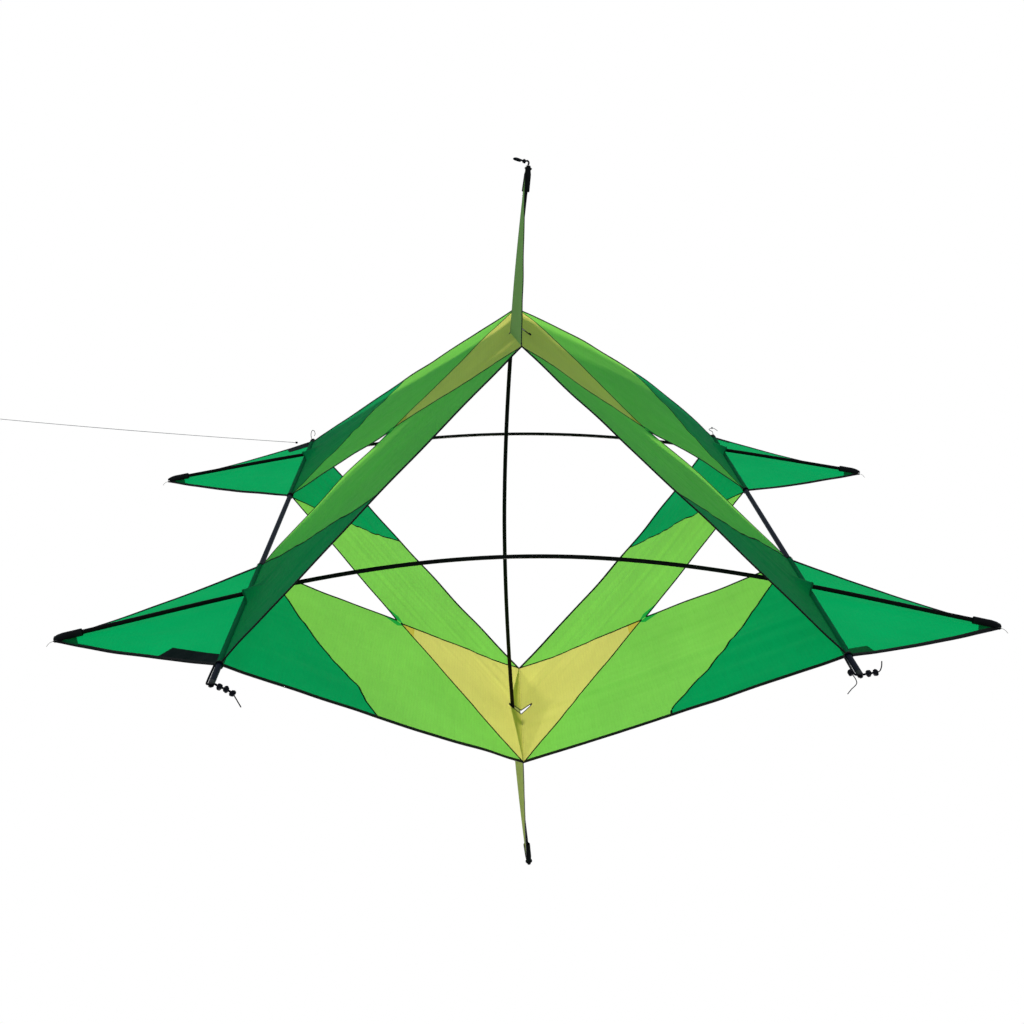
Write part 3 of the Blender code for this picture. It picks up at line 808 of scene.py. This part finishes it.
def edge_lines(quarter):
    """Every edge and seam of a quarter, as flat lines of (r, y) points."""
    fork, notch = Vector((FORK_R, 0.0)), Vector((NOTCH_R, 0.0))
    lines = {"fork": line_of(fork, notch)}
    for end, sign in ENDS.items():
        corner = Vector((0.0, sign * RIDGE_HALF))
        seam = seam_line(quarter, end)
        rod_outer = Vector((ROD_EDGE, sign * outer_edge_y(ROD_EDGE / SLOPE_LENGTH)))
        lines[f"{end}_yellow"] = line_of(corner, fork)
        lines[f"{end}_inner"] = line_of(notch, seam[0])
        lines[f"{end}_seam"] = seam
        lines[f"{end}_outer_high"] = line_of(corner, seam[-1])
        lines[f"{end}_outer_low"] = line_of(seam[-1], rod_outer)
        lines[f"{end}_rod"] = line_of(seam[0], rod_outer)
    return lines


def loop_of(*lines):
    """Joins lines end to end into one closed outline."""
    outline = []
    for points, forward in lines:
        outline += (points if forward else points[::-1])[:-1]
    return outline


def outline_of(corners, step=CLOTH_STEP):
    return loop_of(*[(line_of(a, b, step), True) for a, b in zip(corners, corners[1:] + corners[:1])])


def inside(point, outline):
    x, y = point
    found = False
    for a, b in zip(outline, outline[1:] + outline[:1]):
        if (a.y > y) != (b.y > y) and x < (b.x - a.x) * (y - a.y) / (b.y - a.y) + a.x:
            found = not found
    return found


def middle_of(verts, face):
    return sum((verts[v] for v in face), Vector((0.0, 0.0))) / len(face)


def fill(outline, marks=(), step=CLOTH_STEP):
    """Points and triangles that fill a flat outline evenly, with edges along the marks inside it."""
    points = list(outline)
    edges = [(n, (n + 1) % len(outline)) for n in range(len(outline))]
    for mark in marks:
        first = len(points)
        points += mark
        edges += [(first + n, first + (n + 1) % len(mark)) for n in range(len(mark))]
    border = list(points)
    low = Vector((min(p.x for p in outline), min(p.y for p in outline)))
    high = Vector((max(p.x for p in outline), max(p.y for p in outline)))
    cells = {}
    for p in border:
        cells.setdefault((int(p.x // step), int(p.y // step)), []).append(p)
    row = 0
    y = low.y
    while y < high.y:
        x = low.x + (0.5 * step if row % 2 else 0.0)
        while x < high.x:
            p = Vector((x, y))
            column, line = int(x // step), int(y // step)
            near = (q for i in (-1, 0, 1) for j in (-1, 0, 1) for q in cells.get((column + i, line + j), ()))
            if inside(p, outline) and all((q - p).length > 0.55 * step for q in near):
                points.append(p)
            x += step
        y += step * 0.866
        row += 1
    made = delaunay_2d_cdt(points, edges, [list(range(len(outline)))], 1, 1e-6)
    verts, faces = made[0], made[2]
    kept = [tuple(face) for face in faces if inside(middle_of(verts, face), outline)]
    used = sorted({v for face in kept for v in face})
    index = {v: n for n, v in enumerate(used)}
    return [verts[v] for v in used], [tuple(index[v] for v in face) for face in kept]


def notched_ridge(quarter):
    """A ridge or keel edge with half of the slit that the upright spar passes through."""
    level, side = quarter
    mast = (-mast_point(LEVELS[level] * RIDGE_Z).x + sway(level, 0).x) / SLOPE_COS
    depth = mast + 0.0045 if side == "left" else 0.0195
    wide = 0.0062
    end_y = 0.0042 if side == "left" else 0.0030
    slit = [Vector(p) for p in ((0.0, -wide), (depth - 0.0015, -end_y), (depth, -end_y * 0.45),
                                (depth, end_y * 0.45), (depth - 0.0015, end_y), (0.0, wide))]
    before = line_of((0.0, -RIDGE_HALF), slit[0])
    after = line_of(slit[-1], (0.0, RIDGE_HALF))
    fine = []
    for a, b in zip(slit, slit[1:]):
        fine += line_of(a, b, SLIT_STEP)[:-1]
    fine.append(slit[-1])
    return before[:-1] + fine + after[1:], fine


def build_cloth(name, surface, outline, material, replaces, marks=(), lift=0.0, step=CLOTH_STEP):
    """One cut panel. marks has (outline, material) for each place where it is doubled with another cloth."""
    points, faces = fill(outline, [mark for mark, _ in marks], step)
    made = Mesh(faces=faces)
    for p in points:
        where = surface(p.x, p.y)
        if lift:
            where += normal_at(surface, p.x, p.y) * lift
        made.add(where, (p.x, p.y))
    obj = piece(name, made, material, "sail", replaces)
    for number, (mark, cloth) in enumerate(marks, 1):
        obj.data.materials.append(MATERIALS[cloth])
        for polygon, face in zip(obj.data.polygons, faces):
            if inside(middle_of(points, face), mark):
                polygon.material_index = number


def build_quarter(level, side):
    quarter = (level, side)
    surface = partial(sail_point, quarter)
    lines = edge_lines(quarter)
    name = f"{level}_{side}"
    ridge, slit = notched_ridge(quarter)

    def panel(part, outline, cloth, marks=()):
        build_cloth(f"{name}_{part}_cloth", surface, loop_of(*outline), cloth, [f"{name}_{part}"], marks)

    corner_lean = RIDGE_HALF / FORK_R
    inner_lean = CELL_GAP / (SLOPE_LENGTH * (1 - FORK_NOTCH))
    point = [Vector(p) for p in ((FORK_R - DOUBLED, -DOUBLED * corner_lean), (FORK_R - 0.0002, 0.0),
                                 (FORK_R - DOUBLED, DOUBLED * corner_lean))]
    panel("yellow", [(ridge, True), (lines["rear_yellow"], True), (lines["front_yellow"], False)], "yellow",
          [(point, "fork_yellow")])
    for end, sign in ENDS.items():
        doubled = [Vector(p) for p in ((FORK_R - 0.004, sign * (0.004 * corner_lean + 0.0003)),
                                       (NOTCH_R, sign * 0.0004),
                                       (NOTCH_R + DOUBLED, sign * (DOUBLED * inner_lean + 0.0003)),
                                       (NOTCH_R - 0.004, sign * 0.0165))]
        outline = [(lines[f"{end}_yellow"], True), (lines["fork"], True), (lines[f"{end}_inner"], True),
                   (lines[f"{end}_seam"], True), (lines[f"{end}_outer_high"], False)]
        panel(f"{end}_light_green", outline, "light_green", [(doubled, "fork_green")])
        panel(f"{end}_green", [(lines[f"{end}_seam"], True), (lines[f"{end}_outer_low"], True),
                               (lines[f"{end}_rod"], False)], "green")
        if level == "upper":
            y = cross_spar_point(end, SIDES[side] * ROD_X).y
            arch = line_of((ROD_EDGE, y - 0.028), (ROD_EDGE, y + 0.028), 0.0025)
            sew_quarter(f"{name}_{end}_arch_hem", quarter, [arch], SLIT_PROFILE, "reinforced")
    slit_end = slit[len(slit) // 2].x
    sew_quarter(f"{name}_mast_slit_binding", quarter, [slit], SLIT_PROFILE, "binding",
                around=Vector((slit_end / 2, 0.0)))
    tack = slit_end + 0.0010
    tack_line = line_of((tack, -0.0034), (tack, 0.0034))
    sew_quarter(f"{name}_slit_tack", quarter, [tack_line], SEAM_PROFILE, "binding")
    if quarter == ("upper", "right"):
        knot_piece(f"{name}_slit_knot", surface(tack, 0.0), normal_at(surface, tack, 0.0, False), 0.0030,
                   "cord", "sail", 1)
    outer = [lines[f"{end}_outer_high"] + lines[f"{end}_outer_low"][1:] for end in ENDS]
    inner = [lines[f"{end}_inner"] for end in ENDS]
    seams = [lines[f"{end}_{kind}"] for end in ENDS for kind in ("yellow", "seam")]
    sew_quarter(f"{name}_outer_binding", quarter, outer, BINDING_PROFILE, "binding", 0.0034)
    sew_quarter(f"{name}_inner_binding", quarter, inner, HEM_PROFILE, "binding", 0.0022)
    sew_quarter(f"{name}_seams", quarter, seams, SEAM_PROFILE, "seam", 0.0)


# ---------------------------------------------------------------- bindings, seams and stitches

def both_faces(upper):
    """A closed cross-section of a sewn strip, from (mm into the cloth, mm above it) on its upper face."""
    return upper + [(into, -above) for into, above in reversed(upper)]


BINDING_PROFILE = both_faces([(5.2, 0.30), (4.6, 0.60), (0.4, 0.95), (-0.8, 0.55)])
HEM_PROFILE = both_faces([(2.9, 0.25), (2.5, 0.42), (0.2, 0.60), (-0.5, 0.32)])
SEAM_PROFILE = both_faces([(1.7, 0.14), (1.3, 0.40), (-1.3, 0.40), (-1.7, 0.14)])
SLIT_PROFILE = both_faces([(1.7, 0.15), (1.4, 0.40), (-0.2, 0.46), (-0.6, 0.2)])


def frames_along(surface, flat, middle, face_up=True):
    """(point, inward, normal) along a flat line on a cloth surface. Inward is the side of the middle."""
    frames = []
    for index, p in enumerate(flat):
        way = (flat[min(index + 1, len(flat) - 1)] - flat[max(index - 1, 0)]).normalized()
        across = Vector((-way.y, way.x))
        if across.dot(middle - p) < 0:
            across.negate()
        where = surface(p.x, p.y)
        inward = (surface(p.x + across.x * MM, p.y + across.y * MM) - where).normalized()
        frames.append((where, inward, normal_at(surface, p.x, p.y, face_up)))
    return frames


def add_strip(made, frames, profile):
    first, sides = len(made.verts), len(profile)
    lengths = lengths_along([where for where, _, _ in frames])
    for run, (where, inward, normal) in zip(lengths, frames):
        for into, above in profile:
            made.add(where + inward * into * MM + normal * above * MM, (run, into * MM))
    last = first + (len(frames) - 1) * sides
    for a in range(first, last, sides):
        made.join(a, a + sides, sides)
    made.faces += [tuple(range(first, first + sides)), tuple(reversed(range(last, last + sides)))]


def add_stitches(made, frames, into, height):
    """Rows of thread on both faces of a strip."""
    lengths = lengths_along([where for where, _, _ in frames])

    def placed(run):
        index, share = find(lengths, run)
        return [u.lerp(v, share) for u, v in zip(frames[index], frames[index + 1])]

    run = STITCH_PITCH
    while run + STITCH_LENGTH < lengths[-1]:
        ends = [placed(run), placed(run + STITCH_LENGTH / 2), placed(run + STITCH_LENGTH)]
        for face in (1, -1):
            head, top, foot = [w + i * into + n * face * height for w, i, n in ends]
            normal = ends[1][2] * face
            wide = (foot - head).normalized().cross(normal).normalized() * STITCH_RADIUS
            sink = normal * 0.0001
            first = len(made.verts)
            for point in (head - sink, top + wide, top + normal * STITCH_RADIUS, top - wide,
                          top - normal * 0.0002, foot - sink):
                made.add(point, (run, 0.0))
            for a, b in ((1, 2), (2, 3), (3, 4), (4, 1)):
                made.faces += [(first, first + b, first + a), (first + 5, first + a, first + b)]
        run += STITCH_PITCH


def sew(name, surface, lines, profile, material, stitch=None, face_up=True, outwards=False):
    """Sewn strips along lines of (flat points, middle), with their stitching as a second piece.

    A strip lies on the side of its middle, or on the other side if it is sewn outwards.
    """
    strips, thread = Mesh(), Mesh()
    for flat, middle in lines:
        frames = frames_along(surface, flat, middle, face_up)
        if outwards:
            frames = [(where, -inward, normal) for where, inward, normal in frames]
        add_strip(strips, frames, profile)
        if stitch is not None:
            add_stitches(thread, frames, stitch, max(above for _, above in profile) * MM)
    piece(name, strips, material)
    if thread.verts:
        piece(f"{name}_stitches", thread, "thread")


def sew_quarter(name, quarter, lines, profile, material, stitch=None, around=None):
    """Sewn strips on a quarter, on the side of each arm's middle or away from the point they go around."""
    spaced = []
    for line in lines:
        count = max(3, math.ceil(lengths_along(line)[-1] / (SLIT_STEP if around else EDGE_STEP)))
        flat = evenly(line, count)
        middle = around or Vector((0.62 * SLOPE_LENGTH, math.copysign(0.23, flat[0].y + flat[-1].y)))
        spaced.append((flat, middle))
    sew(name, partial(sail_point, quarter), spaced, profile, material, stitch, False, around is not None)


def build_ridge_stitches(level):
    """The two rows of stitches beside the ridge or keel, on both sides of the upright spar's slit."""
    thread = Mesh()
    for side in SIDES:
        for start, stop in ((-RIDGE_HALF, -0.0085), (0.0085, RIDGE_HALF)):
            flat = line_of((0.0016, start), (0.0016, stop), EDGE_STEP)
            frames = frames_along(partial(sail_point, (level, side)), flat, Vector((1.0, 0.0)), False)
            add_stitches(thread, frames, 0.0, 0.0001)
    piece("ridge_stitches" if level == "upper" else "keel_stitches", thread, "thread")


# ---------------------------------------------------------------- wings

WING_TIP_X = HALF_SPAN + 0.003
# Each corner patch's length, width and cloth. The long front left one is a real patch at the rod that runs on
# down the wing's front edge as a dark band of painted shadow.
PATCHES = {
    ("front", "left"): (0.098, 0.030, "black_cloth"),
    ("front", "right"): (0.042, 0.020, "reinforced"),
    ("rear", "left"): (0.048, 0.036, "black_cloth"),
    ("rear", "right"): (0.030, 0.014, "black_cloth"),
}


def wing_corners(end, side):
    out, sign = SIDES[side], ENDS[end]
    root_x = out * (ROD_X + SLEEVE_RADIUS - 0.0003)
    tip_y = cross_spar_point(end, SPAR_END_X).y
    tip = Vector((out * WING_TIP_X, tip_y, SPAR_TIP_Z - POCKET_CLEAR))
    return Vector((root_x, sign * CELL_GAP, 0.0)), Vector((root_x, sign * CELL_END, 0.0)), tip


def wing_surface(end, side):
    """A function from (distance from the rod, y) to a point of the wing, and its flat outline."""
    inner, outer, tip = wing_corners(end, side)
    reach = abs(tip.x - inner.x)
    out = SIDES[side]
    seed = 11.0 * out + 5.0 * ENDS[end]

    def surface(u, y):
        share = u / reach
        fade = ease(share / 0.15) * ease((1 - share) / 0.2)
        low = inner.y + (tip.y - inner.y) * share
        high = outer.y + (tip.y - outer.y) * share
        cross = (y - low) / (high - low) if abs(high - low) > 1e-6 else 0.5
        lift = 0.0022 * math.sin(math.pi * clamp(cross)) * math.sin(math.pi * share)
        droop = -0.0030 * math.sin(math.pi * share) * (2 * cross - 1) ** 2
        pleat = noise.noise(Vector((cross / 0.09, share / 1.3, seed))) * 0.0009
        pleat += noise.noise(Vector((u / 0.06, y / 0.06, seed))) * 0.0010
        return Vector((inner.x + out * u, y, tip.z * share + lift + droop + pleat * fade))

    return surface, [Vector((0.0, inner.y)), Vector((0.0, outer.y)), Vector((reach, tip.y))]


def build_wing(end, side):
    """A wing with its binding, its patch at the rod (on the front left wing drawn long, partly as painted
    shadow), its doubled tip and a loose sewing thread.
    """
    name = f"{end}_{side}_wing"
    surface, corners = wing_surface(end, side)
    inner, outer, tip = corners
    middle = (inner + outer + tip) / 3
    build_cloth(f"{name}_cloth", surface, outline_of(corners), "green", [name])
    edges = [(line_of(corner, tip, EDGE_STEP), middle) for corner in (outer, inner)]
    sew(f"{name}_binding", surface, edges, BINDING_PROFILE, "binding", 0.0022)
    edge, across = (tip - outer).normalized(), (inner - outer).normalized()
    length, width, cloth = PATCHES[(end, side)]
    back, forth = (inner - tip).normalized(), (outer - tip).normalized()
    # On the front left wing this dark patch runs on along the edge as a painted shadow
    rod_patch_and_shadow = [outer, outer + edge * length, outer + edge * length * 0.78 + across * width,
                 outer + across * width]
    tip_patch = [tip, tip + forth * TIP_PATCH, tip + (forth + back) * 0.018, tip + back * TIP_PATCH]
    for patch, corners, cloth, replaces in (
            (f"{end}_{side}_patch_cloth", rod_patch_and_shadow, cloth, [f"{end}_{side}_patch"]),
            (f"{name}_tip_patch", tip_patch, "reinforced", [])):
        build_cloth(patch, surface, outline_of(corners, PATCH_STEP), cloth, replaces, (),
                    PATCH_LIFT, PATCH_STEP)
    point = surface(tip.x, tip.y)
    out = SIDES[side]
    bends = ((3.5, -1.5, -0.8), (6.5, -2.0, -3.2), (8.5, -3.5, -5.6))
    loose = [point] + [point + Vector((out * x, y, z)) * MM for x, y, z in bends]
    piece(f"{name}_loose_thread", tube(smooth_route(loose, 24), 0.0003, 6), "thread")


# ---------------------------------------------------------------- fins, sleeves and pockets

def build_fin(name, level, material):
    """A fin: one cloth that runs round the upright spar's left side."""
    up = LEVELS[level]
    tip_z = MAST_TOP_Z + 0.004 if up > 0 else MAST_FOOT_Z - 0.004
    tip_x = mast_point(tip_z).x - POCKET_CLEAR
    root_z = up * (RIDGE_Z + 0.0006)
    height = abs(tip_z - root_z)
    seed = 4.0 * up

    def surface(u, y):
        """u is the height over the ridge or keel, and y the place along it."""
        share = clamp(u / height)
        pulled = sway(level, y) * (1 - share)
        z = root_z + up * u
        half = RIDGE_HALF * (1 - share) + 1e-5
        crest = mast_point(z).x - SPAR_RADIUS - 0.0007
        cross = min(math.sqrt((y / half) ** 2 + 0.0008) - math.sqrt(0.0008), 1.0)
        edge = tip_x * share + pulled.x
        pleat = noise.noise(Vector((y / half / 0.25, share / 0.8, seed))) * 0.0007
        pleat += noise.noise(Vector((u / 0.05, y / 0.05, seed))) * 0.0008
        pleat *= ease(share / 0.1) * ease(cross / 0.2) * ease((1 - share) / 0.15)
        # Near the ridge the fin stands on the left panels, so its lower edge follows their slope
        beside = (edge - crest) * (1 - cross)
        foot = up * beside * SLOPE_SIN / SLOPE_COS * (1 - share) ** 6
        return Vector((crest + (edge - crest) * cross + pleat, y, z + pulled.z - foot))

    corners = [Vector((0.0, -RIDGE_HALF)), Vector((0.0, RIDGE_HALF)), Vector((height, 0.0))]
    middle = sum(corners, Vector((0, 0))) / 3
    build_cloth(f"{name}_cloth", surface, outline_of(corners), material, [name])
    under_pocket = 1 - 0.012 / height
    edges = [(line_of(corner, corner.lerp(corners[2], under_pocket), EDGE_STEP), middle)
             for corner in corners[:2]]
    sew(f"{name}_binding", surface, edges, HEM_PROFILE, "binding", 0.0022)


def walled_tube(name, rings, material, replaces, closed=False):
    """Cloth sewn into a tube: an outer and an inner wall through rings of (centre, points, uvs)."""
    made = Mesh()
    sides = len(rings[0][1])
    last = (len(rings) - 1) * sides
    inner = last + sides
    for wall in (0.0, TUBE_WALL):
        for centre, points, places in rings:
            for p, place in zip(points, places):
                made.add(p + (centre - p).normalized() * wall, place)
    for a in range(0, last, sides):
        for k in range(sides):
            n = (k + 1) % sides
            face = (a + k, a + n, a + sides + n, a + sides + k)
            made.faces += [face, tuple(inner + v for v in reversed(face))]
    for k in range(sides):
        n = (k + 1) % sides
        made.faces.append((k, inner + k, inner + n, n))
    if closed:
        end = range(last, last + sides)
        made.faces += [tuple(end), tuple(inner + v for v in reversed(end))]
    else:
        made.join(last, inner + last, sides)
    return piece(name, made, material, "sail", replaces)


def round_ring(out, y, sides, along, reach_of):
    """A ring of (centre, points, uvs) round a side rod. reach_of gives its radius at an angle."""
    centre = Vector((out * ROD_X, y, 0.0))
    points, places = [], []
    for k in range(sides):
        angle = math.tau * k / sides
        points.append(centre + Vector((math.cos(angle), 0.0, math.sin(angle))) * reach_of(angle))
        places.append((along, SLEEVE_RADIUS * angle))
    return centre, points, places


def build_sleeves():
    """Cloth sleeves round the rods, a little full between their stitches, with bound ends."""
    spans = {"front": (-CELL_END, -CELL_GAP), "rear": (CELL_GAP, SLEEVE_END)}
    for side, out in SIDES.items():
        for end, (low, high) in spans.items():
            rings, count = [], math.ceil((high - low) / 0.004)
            for ring in range(count + 1):
                y = low + (high - low) * ring / count

                def reach(angle):
                    puff = noise.noise(Vector((math.cos(angle), math.sin(angle), y / 0.012))) * 0.00022
                    return SLEEVE_RADIUS - 0.0001 + puff

                rings.append(round_ring(out, y, 20, y, reach))
            name = f"{end}_{side}_sleeve"
            sleeve = walled_tube(f"{name}_cloth", rings, "green", [name])
            bands = Mesh()
            for y in (low, high) if end == "front" else (low,):
                add_ring(bands, Vector((out * ROD_X, y, 0)), SLEEVE_RADIUS + 0.0002, 0.0035)
            piece(f"{name}_binding", bands, "binding")


def add_ring(made, centre, radius, width):
    """A band of binding tape round a rod's sleeve."""
    sides = 28
    profile = [(-width / 2, 0.0), (-width / 2, 0.0004), (width / 2, 0.0004), (width / 2, 0.0)]
    first, count = len(made.verts), len(profile)
    for k in range(sides):
        angle = math.tau * k / sides
        for along, above in profile:
            reach = radius + above
            made.add(centre + Vector((reach * math.cos(angle), along, reach * math.sin(angle))),
                     (radius * angle, along))
    for k in range(sides):
        made.join(first + k * count, first + (k + 1) % sides * count, count)


def pocket_shape(length, mouth, flat_wide, flat_thick):
    """Rings of a folded webbing pocket, as (distance, half width, half thickness, squareness)."""
    shape = [
        (0.0, mouth, mouth, 2.0),
        (0.0008, mouth + 0.0003, mouth + 0.0003, 2.0),
        (length * 0.35, mouth + 0.0001, mouth, 2.4),
        (length * 0.7, mouth * 1.05, mouth * 0.95, 2.8),
        (length * 0.88, flat_wide * 0.92, mouth * 0.72, 3.2),
        (length * 0.96, flat_wide, flat_thick * 1.6, 3.5),
        (length, flat_wide, flat_thick, 3.5),
        (length + POCKET_LIP, flat_wide * 0.96, flat_thick * 0.8, 3.5),
    ]
    fine = []
    for a, b in zip(shape, shape[1:]):
        steps = max(1, math.ceil((b[0] - a[0]) / 0.0014))
        for n in range(steps):
            fine.append([u + (v - u) * ease(n / steps) for u, v in zip(a, b)])
    return fine + [list(shape[-1])]


def build_pocket(name, base, way, wide_way, radius, end_thickness):
    """A pocket of folded webbing over a rod's tip, pressed flat and stitched across its closed end."""
    thick_way = way.cross(wide_way).normalized()
    fine = pocket_shape(POCKET_LENGTH, radius, radius * 1.2, end_thickness)
    sides = 24
    rings = []
    for along, wide, thick, square in fine:
        centre = base + way * along
        points, places = [], []
        for k in range(sides):
            c, s = math.cos(math.tau * k / sides), math.sin(math.tau * k / sides)
            x = math.copysign(abs(c) ** (2 / square), c) * wide
            y = math.copysign(abs(s) ** (2 / square), s) * thick
            points.append(centre + wide_way * x + thick_way * y)
            places.append((along, radius * math.tau * k / sides))
        rings.append((centre, points, places))
    made = walled_tube(f"{name}_webbing", rings, "webbing", [name], closed=True)
    thread = Mesh()
    for along in (0.005, 0.0295, 0.0325):
        _, wide, thick, square = min(fine, key=lambda ring: abs(ring[0] - along))
        for face in (1, -1):
            row = []
            for n in range(9):
                x = (2 * n / 8 - 1) * wide * 0.8
                y = (1 - abs(x / wide) ** square) ** (1 / square) * thick
                where = base + way * along + wide_way * x
                row.append((where + thick_way * y * face, way, thick_way * face))
            add_stitches(thread, row, 0.0, 0.00005)
    if thread.verts:
        piece(f"{name}_stitches", thread, "thread")


def build_pockets():
    floor = POCKET_LENGTH - POCKET_END
    for end in ENDS:
        for side, out in SIDES.items():
            tip = cross_spar_point(end, out * SPAR_END_X)
            way = (tip - cross_spar_point(end, out * (SPAR_END_X - 0.02))).normalized()
            wide = way.cross(Vector((0, 0, 1))).normalized()
            base = tip - way * (floor - FIT)
            build_pocket(f"{end}_{side}_pocket", base, way, wide, 0.0047, 0.0016)
    # The top pocket sits 2.4 mm further down its spar, to leave the loop on its end free to swing
    for name, z, down in (("top_pocket", MAST_TOP_Z, 0.0024), ("bottom_pocket", MAST_FOOT_Z, 0.0)):
        tip = mast_point(z)
        way = (tip - mast_point(z - math.copysign(0.02, z))).normalized()
        base = tip - way * (floor - FIT + down)
        build_pocket(name, base, way, Vector((0, 1, 0)), 0.0052, 0.0034)


def build_far_pockets():
    """The closed pockets at the rods' far ends: a gathered cap of black cloth."""
    length = FAR_ROD_Y + 0.004 - SLEEVE_END
    for side, out in SIDES.items():
        rings, count = [], 16
        for ring in range(count + 1):
            share = ring / count
            close = 1.0
            if share >= 0.72:
                close = math.sqrt(max(0.0, 1 - ((share - 0.72) / 0.28) ** 2)) * 0.94 + 0.06

            def reach(angle):
                fold = 1 + 0.05 * math.sin(7 * angle) * max(0.0, share - 0.5) * 2
                return (SLEEVE_RADIUS + 0.0002) * close * fold

            rings.append(round_ring(out, SLEEVE_END + length * share, 28, length * share, reach))
        name = f"{side}_far_pocket"
        cap = walled_tube(f"{name}_cloth", rings, "webbing", [name], closed=True)


def dress_cad_nodes():
    """Better materials for the hard parts, whose CAD shapes stay."""
    dressed = {"front_spar": "spar", "rear_spar": "spar", "upright_spar": "mast"}
    for side in SIDES:
        dressed[f"{side}_longeron"] = "longeron"
        dressed[f"{side}_nock"] = "nock"
        dressed[f"{side}_far_plug"] = "nock"
    for name, material in dressed.items():
        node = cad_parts[name]
        for slot in node.material_slots:
            slot.link = "OBJECT"
            slot.material = MATERIALS[material]


build_stage()
MATERIALS = make_materials()
build_tension_cords()
build_top_loop()
build_far_cords()
build_flying_line()
for level_name in LEVELS:
    for side_name in SIDES:
        build_quarter(level_name, side_name)
    build_ridge_stitches(level_name)
for end_name in ENDS:
    for side_name in SIDES:
        build_wing(end_name, side_name)
build_fin("top_fin", "upper", "fin_green")
build_fin("bottom_fin", "lower", "yellow")
build_sleeves()
build_pockets()
build_far_pockets()
dress_cad_nodes()
